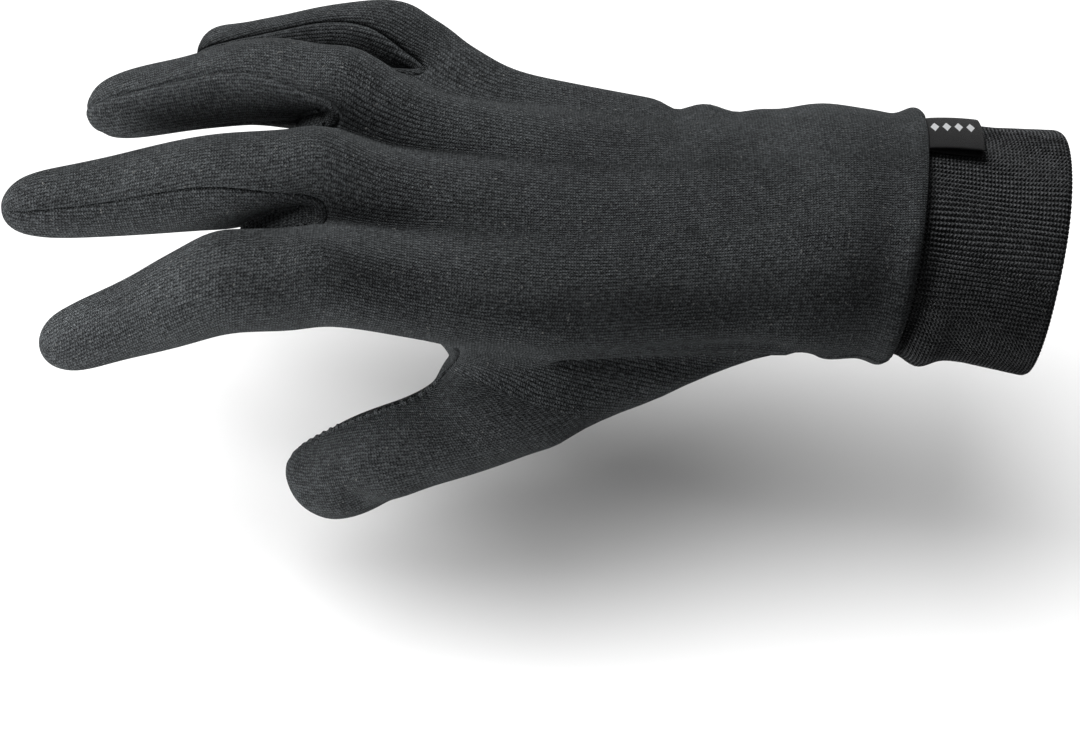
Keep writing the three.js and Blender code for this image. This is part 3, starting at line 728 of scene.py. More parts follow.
def facing(points):
    """The direction out of the cloth at each point."""
    turns = np.cross(points[quads[:, 2]] - points[quads[:, 0]], points[quads[:, 3]] - points[quads[:, 1]])
    out = np.zeros_like(points)
    for corner in range(4):
        np.add.at(out, quads[:, corner], turns)
    return out / np.linalg.norm(out, axis=1, keepdims=True)


out = facing(points)

# Every edge between two different panels is sewn
edge_owner = {}
sewn = []
for quad, panel in zip(quads.tolist(), quad_panel.tolist()):
    for k in range(4):
        pair = frozenset((quad[k], quad[(k + 1) % 4]))
        other = edge_owner.setdefault(pair, panel)
        if other != panel:
            sewn.append(tuple(pair))
seam_samples = np.array([points[a] + (points[b] - points[a]) * t
                         for a, b in sewn for t in np.linspace(0, 1, SEAM_SAMPLES)])
seam_tree = KDTree(len(seam_samples))
for i, sample in enumerate(seam_samples):
    seam_tree.insert(sample, i)
seam_tree.balance()
from_seam = np.array([seam_tree.find(point)[2] for point in points])

# Worn, the cloth stands a little beyond the rows
FULLNESS = 0.8

# Slack folds round the wrist: where along the body, how wide, how high, and towards which side
FOLD_FADE = 1.5
FOLDS = [
    (-86.5, 3.4, -1.7, 1.0, 0.2),
    (-79.0, 3.0, 0.3, 1.0, 0.1),
    (-72.5, 4.5, -1.4, 1.0, 0.0),
    (-63.0, 5.0, -0.6, 1.0, 0.1),
    (-53.0, 7.0, 0.9, 0.9, 0.4),
    (-40.0, 4.0, 0.5, 0.9, 0.4),
]
lift = np.full(len(points), FULLNESS)
towards = np.arctan2(points[:, 2], points[:, 1])
for where, wide, high, aside, up in FOLDS:
    side = np.clip(aside * np.cos(towards) + up * np.sin(towards), 0, 1) ** FOLD_FADE
    lift += high * side * np.exp(-((points[:, 0] - where) / wide) ** 2)

# Soft swells and hollows of the worn form. On the body: place, reach, height. On a finger: which
# finger, how far out, degrees round it, reach, height.
SWELLS = [
    ((-109, -50, -28), 5.5, 1.2),
    ((-88, -43, -17), 7, 0.7),
    ((-57, -34, -4), 8, 1.0),
    ((-143, -53, -45), 6, 1.0),
    ((-151, -53, -52), 4, -2.2),
    ((-166, -42, -58), 6, 0.8),
    ((-165, -39, -50), 7, -1.3),
    ((-139, 41, 9), 7, -1.2),
    ((-151, 44, 8), 9, 2.7),
    ((-160, 50, 5), 12, 0.5),
]
FINGER_SWELLS = [
    (0, 0.10, -138, 12, 0.8),
    (0, 0.50, -138, 16, 1.0),
    (0, 0.33, 42, 7, 1.1),
    (0, 0.70, 42, 13, -0.8),
    (0, 0.92, -138, 9, 0.9),
    (1, 0.50, 42, 16, 0.6),
    (2, 0.60, 42, 13, -0.8),
    (2, 0.80, -138, 13, 0.4),
    (3, 0.97, 60, 7, 2.2),
]
for f, at, angle, reach, high in FINGER_SWELLS:
    centre, _, across, back = finger_paths[f](at)
    place = section_point(centre, across, back, finger_widths[f], finger_widths[f], angle)
    SWELLS.append((place, reach, high))
for place, reach, high in SWELLS:
    lift += high * np.exp(-(np.linalg.norm(points - np.array(place), axis=1) / reach) ** 2)


def from_line(line):
    """How far each point of the cloth lies from a line of points."""
    nearest = np.full(len(points), 1e9)
    for a, b in zip(line, line[1:]):
        a, b = np.array(a, float), np.array(b, float)
        t = np.clip(((points - a) @ (b - a)) / ((b - a) @ (b - a)), 0, 1)
        nearest = np.minimum(nearest, np.linalg.norm(points - a - t[:, None] * (b - a), axis=1))
    return nearest


# The crease where the wrist's cloth hangs over the root of the thumb
CREASE = [(-110, -41.5, -9.5), (-95.6, -39.3, -9.6), (-79.4, -37.2, -9.8), (-63.3, -34.6, -9.6)]
CREASE_DEPTH = 2.4
CREASE_WIDTH = 1.5
OVERHANG = 0.8
OVERHANG_AT = 3.6
OVERHANG_WIDTH = 2.0
OVERHANG_ABOVE = -9.6
crease = from_line(CREASE)
lift -= CREASE_DEPTH * np.exp(-(crease / CREASE_WIDTH) ** 2)
overhang = OVERHANG * np.exp(-((crease - OVERHANG_AT) / OVERHANG_WIDTH) ** 2)
lift += overhang * (points[:, 2] > OVERHANG_ABOVE)

tips = np.array([cage_points[id] for id in finger_tips])
from_tip = np.min(np.linalg.norm(points[:, None] - tips[None], axis=2), axis=1)
seam_depth = SEAM_DEPTH * np.clip((from_tip - 1) / SEAM_TIP, SEAM_LEAST, 1)
lift -= seam_depth * np.exp(-(from_seam / SEAM_WIDTH) ** 2)
welt = SEAM_WELT * np.clip(from_tip / WELT_TIP, 0, 1)
lift += welt * np.exp(-((from_seam - SEAM_WELT_AT) / SEAM_WELT_WIDTH) ** 2)
points = points + out * lift[:, None]
out = facing(points)


def cloth_object(name, points, faces, places, material):
    """Makes a piece from points in millimetres, with the place of each corner on the flat cloth."""
    mesh = bpy.data.meshes.new(name)
    mesh.from_pydata((np.asarray(points) * MM).tolist(), [], faces)
    layer = mesh.uv_layers.new(name="flat_cloth")
    layer.data.foreach_set("uv", np.asarray(places, float).ravel())
    mesh.polygons.foreach_set("use_smooth", [True] * len(mesh.polygons))
    mesh.materials.append(material)
    piece = bpy.data.objects.new(name, mesh)
    bpy.context.scene.collection.objects.link(piece)
    return piece


def add(tree, kind, **values):
    node = tree.nodes.new(kind)
    for key, value in values.items():
        setattr(node, key, value)
    return node


def feed(tree, node, given):
    """Gives a node its inputs, each a plain value or another node's output."""
    for slot, value in given:
        if hasattr(value, "is_output"):
            tree.links.new(value, node.inputs[slot])
        else:
            node.inputs[slot].default_value = value


def calc(tree, operation, *inputs):
    node = add(tree, "ShaderNodeMath", operation=operation)
    feed(tree, node, enumerate(inputs))
    return node.outputs[0]


def plus(tree, base, part, share):
    return calc(tree, "ADD", base, calc(tree, "MULTIPLY", part, share))


def spread(tree, value, low, high, start, end):
    node = add(tree, "ShaderNodeMapRange")
    feed(tree, node, enumerate((value, low, high, start, end)))
    return node.outputs[0]


def speckle(tree, place, scale, detail=2.0, roughness=0.6):
    node = add(tree, "ShaderNodeTexNoise")
    node.inputs["Scale"].default_value = scale
    node.inputs["Detail"].default_value = detail
    node.inputs["Roughness"].default_value = roughness
    tree.links.new(place, node.inputs["Vector"])
    return node.outputs[0]


def mixed(tree, share, first, second):
    node = add(tree, "ShaderNodeMix", data_type="RGBA")
    feed(tree, node, ((0, share), (6, first), (7, second)))
    return node.outputs[2]


def new_cloth(name):
    """A material with its node tree, its shader, and its places: on the flat cloth, and in the piece."""
    material = bpy.data.materials.new(name)
    material.use_nodes = True
    tree = material.node_tree
    place = add(tree, "ShaderNodeTexCoord")
    parts = add(tree, "ShaderNodeSeparateXYZ")
    tree.links.new(place.outputs["UV"], parts.inputs[0])
    return material, tree, tree.nodes["Principled BSDF"], parts.outputs, place.outputs["Object"]


def raise_relief(tree, shader, height, distance):
    bump = add(tree, "ShaderNodeBump")
    bump.inputs["Strength"].default_value = 1.0
    bump.inputs["Distance"].default_value = distance * MM
    tree.links.new(height, bump.inputs["Height"])
    tree.links.new(bump.outputs[0], shader.inputs["Normal"])


def knitted(name, stitch_width, stitch_length, dark, light, relief, rungs):
    """Rows of V-shaped stitches in melange yarn: each leg of a stitch has a tone of its own, and the stitch's relief
    also darkens its grooves in the colour as painted shade.
    """
    material, tree, shader, flat_place, solid = new_cloth(name)
    wander = calc(tree, "SUBTRACT", speckle(tree, solid, WANDER_GRAIN, 3), 0.5)
    across = plus(tree, flat_place[1], wander, stitch_width * WANDER_ACROSS)
    along = plus(tree, flat_place[0], wander, stitch_length * WANDER_ALONG)
    wale = calc(tree, "DIVIDE", across, stitch_width / 2)
    leg = calc(tree, "PINGPONG", wale, 1.0)
    rise = plus(tree, calc(tree, "DIVIDE", along, stitch_length), leg, 0.5)
    cell = add(tree, "ShaderNodeCombineXYZ")
    tree.links.new(calc(tree, "FLOOR", wale), cell.inputs[0])
    tree.links.new(calc(tree, "FLOOR", rise), cell.inputs[1])
    yarn = add(tree, "ShaderNodeTexWhiteNoise", noise_dimensions="2D")
    tree.links.new(cell.outputs[0], yarn.inputs["Vector"])
    rung = calc(tree, "SINE", calc(tree, "MULTIPLY", rise, 2 * math.pi))
    dome = calc(tree, "SUBTRACT", 1.0, calc(tree, "POWER", leg, 2.5))
    stitch = plus(tree, calc(tree, "MULTIPLY", dome, 0.75), rung, rungs)
    hair = speckle(tree, solid, HAIR_GRAIN, 2, 0.75)
    fluff = speckle(tree, solid, FLUFF_GRAIN, 2, 0.6)
    patches = speckle(tree, solid, PATCH_GRAIN, 4, 0.65)
    height = plus(tree, plus(tree, stitch, hair, HAIR_HEIGHT), yarn.outputs[0], YARN_HEIGHT)
    # The stitch's relief also goes into the colour: its low parts between the legs and along the courses are darkened
    # as painted shade
    tone = calc(tree, "MULTIPLY", stitch, STITCH_GROOVE_SHADE)
    for part, share in ((yarn.outputs[0], YARN_TONE), (fluff, FLUFF_TONE),
                        (hair, HAIR_TONE), (patches, PATCH_TONE)):
        tone = plus(tree, tone, part, share)
    bright = calc(tree, "POWER", spread(tree, tone, TONE_FROM, TONE_TO, 0.0, 1.0), TONE_POWER)
    cloth = mixed(tree, bright, dark, light)
    lint = speckle(tree, solid, LINT_GRAIN, 1, 0.5)
    cloth = mixed(tree, spread(tree, lint, LINT_FROM, LINT_TO, 0.0, LINT_SHARE), cloth, LINT_WHITE)
    tree.links.new(cloth, shader.inputs["Base Color"])
    shader.inputs["Roughness"].default_value = 0.95
    shader.inputs["Specular IOR Level"].default_value = 0.12
    shader.inputs["Sheen Weight"].default_value = 0.06
    shader.inputs["Sheen Roughness"].default_value = 0.5
    shader.inputs["Sheen Tint"].default_value = COOL_SHEEN
    raise_relief(tree, shader, height, relief)
    return material


JERSEY_RELIEF = 0.28
JERSEY_RUNGS = 0.3
jersey = knitted("charcoal_jersey", STITCH_WIDTH, STITCH_LENGTH, CLOTH_DARK, CLOTH_LIGHT,
                 JERSEY_RELIEF, JERSEY_RUNGS)


def sew_panel(name, panel):
    """One panel as a shell: its face, its inside a cloth below, and a turned edge at each seam."""
    own = np.nonzero(quad_panel == panel)[0]
    faces = quads[own]
    starts = faces.ravel()
    ends = np.roll(faces, -1, axis=1).ravel()
    directed = set(zip(starts.tolist(), ends.tolist()))
    rim = [(a, b) for a, b in directed if (b, a) not in directed]
    rim.sort()
    inward = {}
    for a, b in rim:
        along = points[b] - points[a]
        for id in (a, b):
            step = np.cross(out[id], along)
            inward[id] = inward.get(id, 0) + step / np.linalg.norm(step)
    used = np.unique(faces)
    index = {id: i for i, id in enumerate(used.tolist())}
    outer = points[used].copy()
    for id, step in inward.items():
        outer[index[id]] += step * SEAM_CLOSED / (step @ step)
    inner = outer - out[used] * CLOTH
    count = len(used)
    place_of = {}
    for quad, spots in zip(faces.tolist(), quad_uv[own]):
        for id, spot in zip(quad, spots):
            place_of[id] = spot
    shell_faces, shell_places = [], []
    for quad, spots in zip(faces.tolist(), quad_uv[own]):
        shell_faces.append([index[id] for id in quad])
        shell_places.extend(spots)
    for quad, spots in zip(faces.tolist(), quad_uv[own]):
        shell_faces.append([index[id] + count for id in reversed(quad)])
        shell_places.extend(spots[::-1])
    for a, b in rim:
        shell_faces.append([index[b], index[a], index[a] + count, index[b] + count])
        shell_places.extend([place_of[b], place_of[a], place_of[a], place_of[b]])
    piece = cloth_object(name + "_cloth", np.concatenate([outer, inner]), shell_faces, shell_places, jersey)
    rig.replaces(piece, name)
    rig.slot(piece, "jersey_knit")
    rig.ride(piece, "root")
    cut_width, cut_length = np.ptp(quad_uv[own].reshape(-1, 2), axis=0) * MM
    halves = np.cross(outer[[index[id] for id in faces[:, 2]]] - outer[[index[id] for id in faces[:, 0]]],
                      outer[[index[id] for id in faces[:, 3]]] - outer[[index[id] for id in faces[:, 1]]])
    cut_area = np.linalg.norm(halves, axis=1).sum() / 2 * MM ** 2
    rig.sheet(piece, flat=(cut_width, cut_length), held="stretched", area=cut_area)
    return piece


for name, panel in (("back_panel", BACK), ("palm_panel", PALM), ("thumb_palm", THUMB_FRONT),
                    ("fourchette_index_middle", SIDES[0]), ("fourchette_middle_ring", SIDES[1]),
                    ("fourchette_ring_little", SIDES[2])):
    sew_panel(name, panel)

# The allowance of the thumb's seam is left on the outside: a narrow twisted welt of cut jersey, overcast
# with the same yarn, that follows the seam from the fork of the thumb to near its tip.
STRIP_WIDTH = 1.5
STRIP_HEIGHT = 1.3
STRIP_TWIST = 2.3
STRIP_FROM, STRIP_TO = 0.40, 0.95
STRIP_STEPS = 220
STRIP_SIDES = 12
STRIP_PASSES = 30
STRIP_TAPER = 4
STRIP_LUMPS = 0.32
STRIP_RAISE = 0.1
STRIP_SIDE = 0.4
strip_middle, strip_ahead, strip_out = [], [], []
for at in np.linspace(STRIP_FROM, STRIP_TO, STRIP_STEPS):
    centre, ahead, across, back = thumb_path(at)
    wide, deep, aside = (np.interp(at, [row[0] for row in THUMB_ROWS], [row[i] for row in THUMB_ROWS])
                         for i in (1, 2, 3))
    guess = section_point(centre + across * aside * THUMB_WIDTH, across, back, wide * THUMB_WIDTH,
                          deep * THUMB_DEPTH, THUMB_UPPER_SEAM)
    _, nearest, _ = seam_tree.find(guess)
    strip_middle.append(seam_samples[nearest])
    strip_ahead.append(ahead)
    away = guess - centre
    strip_out.append(away / np.linalg.norm(away))
strip_middle = np.array(strip_middle)
for _ in range(STRIP_PASSES):
    strip_middle[1:-1] = (strip_middle[:-2] + 2 * strip_middle[1:-1] + strip_middle[2:]) / 4
strip_points, strip_faces, strip_places = [], [], []
run = 0.0
runs = []
for n, (middle, ahead, away) in enumerate(zip(strip_middle, strip_ahead, strip_out)):
    run += math.dist(strip_middle[n - 1], middle) if n else 0.0
    runs.append(run)
    sideways = np.cross(ahead, away)
    from_end = min(n, STRIP_STEPS - 1 - n)
    end = min(1, STRIP_TAPER * from_end / STRIP_STEPS) ** 0.5
    for k in range(STRIP_SIDES):
        turn = 2 * math.pi * k / STRIP_SIDES
        lumps = 1 + STRIP_LUMPS * math.sin(2 * math.pi * run / STRIP_TWIST + turn)
        strip_points.append(middle + away * (FULLNESS + STRIP_RAISE) + end * lumps * (
            sideways * math.cos(turn) * STRIP_WIDTH / 2 + away * math.sin(turn) * STRIP_HEIGHT / 2))
for n in range(STRIP_STEPS - 1):
    for k in range(STRIP_SIDES):
        beside = (k + 1) % STRIP_SIDES
        strip_faces.append([n * STRIP_SIDES + k, n * STRIP_SIDES + beside,
                            (n + 1) * STRIP_SIDES + beside, (n + 1) * STRIP_SIDES + k])
        near_v, far_v = k * STRIP_SIDE, (k + 1) * STRIP_SIDE
        strip_places.extend([(near_v, runs[n]), (far_v, runs[n]),
                             (far_v, runs[n + 1]), (near_v, runs[n + 1])])
strip = cloth_object("thumb_seam_welt", strip_points, strip_faces, strip_places, jersey)
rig.slot(strip, "jersey_knit")
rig.ride(strip, "root")

# The cuff: a band of one-by-one rib in the same yarn, folded double at the mouth and sewn inside the
# rounded hem. Its ribs stand out as fine cords, and its two layers make a thick, soft mouth.
CUFF_WALL = 2.2
CUFF_TUCK = 5
RIBS = 144
RIB_SAMPLES = 6
RIB_DEPTH = 0.42
RIB_CREST = 0.8
RIB_SWAY = 0.25
INSIDE_RIBS = 0.6
RIB_STITCH = 0.86
RIB_RELIEF = 0.50
RIB_RUNGS = 0.7
# Rows of points along the outside, round the fold, and along the inside
OUTER_ROWS = 42
FOLD_ROWS = 9
INNER_ROWS = 30
# The girth as a share of the cuff's: at the hem, and how much wider at the mouth
HEM_GIRTH = 0.995
MOUTH_FLARE = 0.035
FLARE_FROM = 0.45
FLARE_OVER = 0.4
FOLD_AT = 0.06
# It hangs fuller below and on top at the mouth, its mouth dips at the front, and it puffs out below
# the hem: how much, and at which degrees round it
MOUTH_FULL = 1.3
TOP_FULL = 0.7
MOUTH_DIP = 1.2
HEM_PUFF = 2.4
HEM_PUFF_AT = 0.76
HEM_PUFF_WIDTH = 0.11
UNDER_ANGLE = 210
FRONT_ANGLE = 165
# Slow waves of the mouth's cloth: height, waves round it, slant along it
SLOW_WAVES = [(0.16, 3, 2.1), (0.1, 7, -3)]
RIB_DARK = (0.0070, 0.0071, 0.0076, 1)
RIB_LIGHT = (0.135, 0.138, 0.144, 1)


def cuff_point(at, turn, size, height):
    """A point of the cuff: how far in from the mouth, how far round, girth, and height above it."""
    angle = 2 * math.pi * turn
    under = max(0, math.cos(angle - math.radians(UNDER_ANGLE))) ** 3
    front = max(0, math.cos(angle - math.radians(FRONT_ANGLE))) ** 2
    puff = HEM_PUFF * math.exp(-((at - HEM_PUFF_AT) / HEM_PUFF_WIDTH) ** 2)
    height = height + under * (MOUTH_FULL * max(0, 1 - at) + puff)
    height = height + TOP_FULL * max(0, math.sin(angle)) ** 2 * max(0, 1 - at)
    at = at + MOUTH_DIP * front * max(0, 1 - at) ** 3 / CUFF_LENGTH
    return leaned(np.array([-at * CUFF_LENGTH,
                            (size * CUFF_WIDTH / 2 + height) * math.cos(angle),
                            (size * CUFF_THICKNESS / 2 + height) * math.sin(angle)]))


def cuff_girth(at):
    return HEM_GIRTH + MOUTH_FLARE * max(0, FLARE_FROM - at) / FLARE_OVER


# The way along the outside to the mouth, round the fold, and back inside: at, girth, height, ribs
cuff_rows = []
hidden = 1 + CUFF_TUCK / CUFF_LENGTH
for at in np.linspace(hidden, FOLD_AT, OUTER_ROWS):
    cuff_rows.append((at, cuff_girth(at), 0.0, 1.0))
for step in range(1, FOLD_ROWS):
    angle = math.pi * step / FOLD_ROWS
    cuff_rows.append((FOLD_AT - FOLD_AT * math.sin(angle), HEM_GIRTH + MOUTH_FLARE,
                      -CUFF_WALL * (1 - math.cos(angle)) / 2, 1.0))
for at in np.linspace(FOLD_AT, hidden, INNER_ROWS):
    cuff_rows.append((at, cuff_girth(at), -CUFF_WALL, INSIDE_RIBS))
turns = RIBS * RIB_SAMPLES
cuff_points, cuff_faces, cuff_places = [], [], []
girth = math.pi * (CUFF_WIDTH + CUFF_THICKNESS) / 2
for at, size, height, rib in cuff_rows:
    inside = height < -CUFF_WALL / 2
    for step in range(turns):
        turn = step / turns
        bend = RIB_SWAY / RIBS * math.sin(5.0 * at + 9 * turn * 2 * math.pi)
        wave = math.cos(2 * math.pi * RIBS * (turn + bend))
        ridge = (abs(wave) ** RIB_CREST) * math.copysign(1, wave)
        swell = sum(high * math.sin(waves * 2 * math.pi * turn + slant * at)
                    for high, waves, slant in SLOW_WAVES)
        raised = (RIB_HEIGHT - RIB_DEPTH / 2 + RIB_DEPTH * ridge * 0.5) * rib * (-1 if inside else 1)
        cuff_points.append(cuff_point(at, turn, size, height + raised + swell))
rows_count = len(cuff_rows)
run = np.cumsum([0] + [math.dist((a[0] * CUFF_LENGTH, a[2]), (b[0] * CUFF_LENGTH, b[2]))
                       for a, b in zip(cuff_rows, cuff_rows[1:])])
run = np.append(run, run[-1] + CUFF_WALL)
for r in range(rows_count):
    after = (r + 1) % rows_count
    for k in range(turns):
        beside = (k + 1) % turns
        cuff_faces.append([r * turns + k, r * turns + beside, after * turns + beside, after * turns + k])
        near_v, far_v = k / turns * girth, (k + 1) / turns * girth
        cuff_places.extend([(run[r], near_v), (run[r], far_v), (run[r + 1], far_v), (run[r + 1], near_v)])
rib_knit = knitted("charcoal_rib", girth / RIBS, RIB_STITCH, RIB_DARK, RIB_LIGHT, RIB_RELIEF, RIB_RUNGS)
cuff = cloth_object("cuff_rib", cuff_points, cuff_faces, cuff_places, rib_knit)
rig.replaces(cuff, "cuff")
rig.slot(cuff, "rib_knit")
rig.ride(cuff, "root")

# The label: a short woven ribbon folded over and sewn into the cuff's seam at the top, its near edge
# open so that the fold shows as a dark gap. It carries a plain row of woven diamonds.
LABEL_LENGTH = 12.5
LABEL_WIDTH = 12
LABEL_THICKNESS = 0.5
LABEL_RISE = 1.8
LABEL_TURN = 67.5
LABEL_SAMPLES = 8
LABEL_SIDES = 27
# The selvedges are thinner than the middle by this share
SELVEDGE_THIN = 0.35
# The fold from the side: how far along the ribbon's length, and how high
LABEL_FOLD = [(0.00, 0.40), (0.10, 0.12), (0.50, 0.02), (0.90, 0.00), (0.97, 0.18), (1.00, 0.50),
              (0.97, 0.82), (0.90, 1.00), (0.50, 0.94), (0.10, 0.66)]
RIBBON_GREY = (0.020, 0.0202, 0.0212, 1)
RIBBON_DARK = (0.003, 0.003, 0.0034, 1)
RIBBON_WHITE = (0.72, 0.73, 0.74, 1)
RIBBON_GRAIN = 1500
RIBBON_RELIEF = 0.12
WARP_PITCH = 0.24
WEFT_PITCH = 0.34
# The diamonds: how far apart, where the first begins from the fold, where their row lies across the
# ribbon, how tall they are, and how much of their pitch they fill
DIAMOND_PITCH = 2.7
DIAMOND_FROM_FOLD = 1.6
DIAMOND_ROW = -1.0
DIAMOND_HEIGHT = 2.4
DIAMOND_FILL = 0.72
DIAMOND_COUNT = 4


def ribbon_line(count):
    """The ribbon's middle line, rounded through the points of its fold."""
    corner = np.array([(along * LABEL_LENGTH, LABEL_THICKNESS / 2 + SEAM_GAP + rise * LABEL_RISE)
                       for along, rise in LABEL_FOLD])
    line = []
    for k in range(len(corner)):
        p0, p1, p2, p3 = (corner[(k + step) % len(corner)] for step in (-1, 0, 1, 2))
        for t in np.arange(count) / count:
            line.append(0.5 * (2 * p1 + (p2 - p0) * t + (2 * p0 - 5 * p1 + 4 * p2 - p3) * t ** 2
                               + (3 * p1 - p0 - 3 * p2 + p3) * t ** 3))
    return np.array(line)


line = ribbon_line(LABEL_SAMPLES)
tangent = np.roll(line, -1, axis=0) - np.roll(line, 1, axis=0)
tangent /= np.linalg.norm(tangent, axis=1, keepdims=True)
sides = np.linspace(-0.5, 0.5, LABEL_SIDES)
rim_of_section = [(side, 0.5) for side in sides] + [(side, -0.5) for side in sides[::-1]]
label_points, label_faces, label_places = [], [], []
ribbon_run = np.concatenate([[0], np.cumsum(np.linalg.norm(np.diff(line, axis=0), axis=1))])
ribbon_run = np.append(ribbon_run, ribbon_run[-1] + np.linalg.norm(line[0] - line[-1]))
for spot, way in zip(line, tangent):
    for side, depth in rim_of_section:
        thin = 1 - SELVEDGE_THIN * abs(2 * side) ** 12
        reach = depth * LABEL_THICKNESS * thin
        label_points.append(cuff_point(
            1 - (SEAM_GAP + LABEL_THICKNESS / 2 + spot[0] + way[1] * reach) / CUFF_LENGTH,
            LABEL_TURN / 360 + side * LABEL_WIDTH / girth, 1,
            RIB_HEIGHT + spot[1] - way[0] * reach))
section = len(rim_of_section)
for r in range(len(line)):
    after = (r + 1) % len(line)
    for k in range(section):
        beside = (k + 1) % section
        label_faces.append([r * section + k, after * section + k,
                            after * section + beside, r * section + beside])
        near_v, far_v = (rim_of_section[i][0] * LABEL_WIDTH for i in (k, beside))
        label_places.extend([(ribbon_run[r], near_v), (ribbon_run[r + 1], near_v),
                             (ribbon_run[r + 1], far_v), (ribbon_run[r], far_v)])


def woven_ribbon():
    """Close satin weave: fine warp lines with weft floats, and a row of small white diamonds."""
    material, tree, shader, (along, across, _), solid = new_cloth("woven_ribbon")
    warp = calc(tree, "SINE", calc(tree, "MULTIPLY", across, 2 * math.pi / WARP_PITCH))
    weft = calc(tree, "SINE", calc(tree, "MULTIPLY", along, 2 * math.pi / WEFT_PITCH))
    weave = calc(tree, "MULTIPLY", warp, weft)
    grain = speckle(tree, solid, RIBBON_GRAIN, 2)
    height = plus(tree, weave, grain, 0.8)
    ribbon = mixed(tree, spread(tree, height, -0.6, 1.6, 0.0, 1.0), RIBBON_DARK, RIBBON_GREY)
    middle = calc(tree, "ABSOLUTE", calc(tree, "SUBTRACT", across, DIAMOND_ROW))
    reach = calc(tree, "PINGPONG", calc(tree, "SUBTRACT", along, diamond_start), DIAMOND_PITCH / 2)
    inside = calc(tree, "ADD", calc(tree, "DIVIDE", reach, DIAMOND_PITCH / 2),
                  calc(tree, "DIVIDE", middle, DIAMOND_HEIGHT))
    stepped = plus(tree, inside, weave, 0.05)
    diamond = calc(tree, "LESS_THAN", stepped, DIAMOND_FILL)
    within = calc(tree, "MULTIPLY",
                  calc(tree, "GREATER_THAN", along, diamond_start - DIAMOND_PITCH / 2),
                  calc(tree, "LESS_THAN", along, diamond_end))
    ribbon = mixed(tree, calc(tree, "MULTIPLY", diamond, within), ribbon, RIBBON_WHITE)
    tree.links.new(ribbon, shader.inputs["Base Color"])
    shader.inputs["Roughness"].default_value = 0.7
    shader.inputs["Specular IOR Level"].default_value = 0.2
    shader.inputs["Sheen Weight"].default_value = 0.04
    raise_relief(tree, shader, height, RIBBON_RELIEF)
    return material


# The eighth point of the fold is where the ribbon's top begins
diamond_start = ribbon_run[LABEL_SAMPLES * 7] + DIAMOND_FROM_FOLD
diamond_end = diamond_start + (DIAMOND_COUNT - 0.5) * DIAMOND_PITCH
label = cloth_object("label_ribbon", label_points, label_faces, label_places, woven_ribbon())
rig.replaces(label, "label")
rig.slot(label, "label_ribbon")
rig.ride(label, "root")

# The studio: a plain pale floor below the raised glove, one broad soft light above and behind it, a weak
# fill at the fingertips, a soft even light for the floor alone, and a long lens at the photograph's angle
FLOOR_Z = -0.12
FLOOR_REACH = 6
PAPER = (0.80, 0.80, 0.80, 1)
AIR_LIGHT = 0.13
FLOOR_LIGHT = 5.75
FLOOR_LIGHT_SOFTNESS = 46
FLOOR_LIGHT_WAY = (0.58, 0.40, -1.20)
CAMERA_AT = (-0.201172, -0.651337, 0.656674)
CAMERA_TURN, CAMERA_DROP, CAMERA_ROLL = -8.061, 47.356, 12.047
LENS = 136.226

floor_mesh = bpy.data.meshes.new("floor")
floor_mesh.from_pydata([(x * FLOOR_REACH, y * FLOOR_REACH, FLOOR_Z)
                        for x, y in ((-1, -1), (1, -1), (1, 1), (-1, 1))], [], [(0, 1, 2, 3)])
floor = bpy.data.objects.new("floor", floor_mesh)
bpy.context.scene.collection.objects.link(floor)
paper = bpy.data.materials.new("pale_paper")
paper.use_nodes = True
paper.node_tree.nodes["Principled BSDF"].inputs["Base Color"].default_value = PAPER
paper.node_tree.nodes["Principled BSDF"].inputs["Roughness"].default_value = 0.9
floor_mesh.materials.append(paper)
floor.visible_diffuse = False
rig.stage(floor)

world = bpy.data.worlds.new("studio")
bpy.context.scene.world = world
world.use_nodes = True
world.node_tree.nodes["Background"].inputs[0].default_value = (1.0, 1.0, 1.0, 1)
world.node_tree.nodes["Background"].inputs[1].default_value = AIR_LIGHT

lit = {"glove": bpy.data.collections.new("glove"), "floor": bpy.data.collections.new("floor")}
lit["floor"].objects.link(floor)
for piece in bpy.context.scene.objects:
    if piece.type == "MESH" and piece != floor:
        lit["glove"].objects.link(piece)


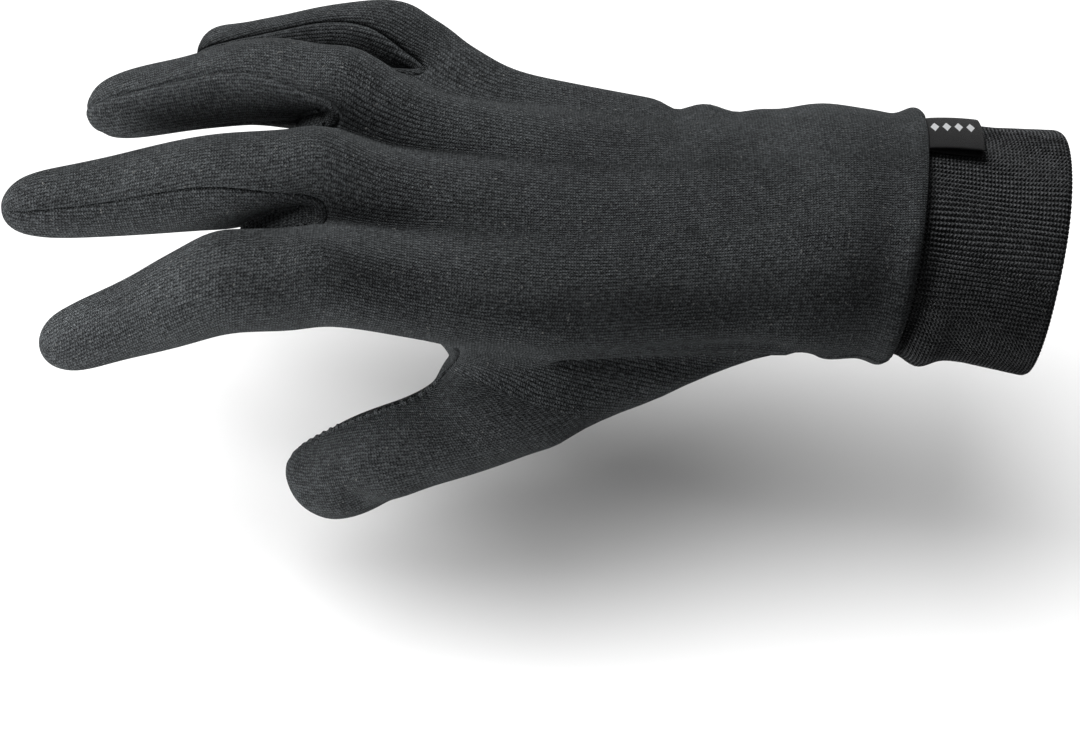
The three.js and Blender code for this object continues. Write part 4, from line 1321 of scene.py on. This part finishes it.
def soft_light(name, at, aim, size, power, beam):
    lamp = bpy.data.lights.new(name, "AREA")
    lamp.shape = "DISK"
    lamp.size = size
    lamp.energy = power
    lamp.spread = math.radians(beam)
    light = bpy.data.objects.new(name, lamp)
    light.location = at
    light.rotation_euler = (Vector(aim) - Vector(at)).to_track_quat("-Z", "Y").to_euler()
    light.light_linking.receiver_collection = lit["glove"]
    light.visible_camera = False
    bpy.context.scene.collection.objects.link(light)


soft_light("overhead", (-0.46, 0.58, 0.68), (-0.14, 0, 0), 0.55, 15, 180)
soft_light("at_the_fingers", (-0.42, -0.25, -0.03), (-0.20, -0.02, -0.02), 0.20, 0.27, 50)
floor_sun = bpy.data.lights.new("over_the_floor", "SUN")
floor_sun.energy = FLOOR_LIGHT
floor_sun.angle = math.radians(FLOOR_LIGHT_SOFTNESS)
over_floor = bpy.data.objects.new("over_the_floor", floor_sun)
over_floor.rotation_euler = Vector(FLOOR_LIGHT_WAY).to_track_quat("-Z", "Y").to_euler()
over_floor.light_linking.receiver_collection = lit["floor"]
bpy.context.scene.collection.objects.link(over_floor)
bpy.context.scene.view_settings.view_transform = "Standard"

camera = bpy.data.objects.new("camera", bpy.data.cameras.new("camera"))
bpy.context.scene.collection.objects.link(camera)
turn, drop, roll = (math.radians(a) for a in (CAMERA_TURN, CAMERA_DROP, CAMERA_ROLL))
ahead = Vector((-math.sin(turn) * math.cos(drop), math.cos(turn) * math.cos(drop), -math.sin(drop)))
level = Vector((math.cos(turn), math.sin(turn), 0))
upward = level.cross(ahead)
right = level * math.cos(roll) + upward * math.sin(roll)
above = upward * math.cos(roll) - level * math.sin(roll)
camera.matrix_world = Matrix.Translation(CAMERA_AT) @ Matrix((right, above, -ahead)).transposed().to_4x4()
camera.data.lens = LENS
camera.data.sensor_width = 36
camera.data.clip_start = 0.05
camera.data.clip_end = 20
bpy.context.scene.camera = camera

low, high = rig.bounds()
with open("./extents.json", "w") as size_file:
    json.dump({"cad": [list(cad_low), list(cad_high)], "visual": [list(low), list(high)]}, size_file)
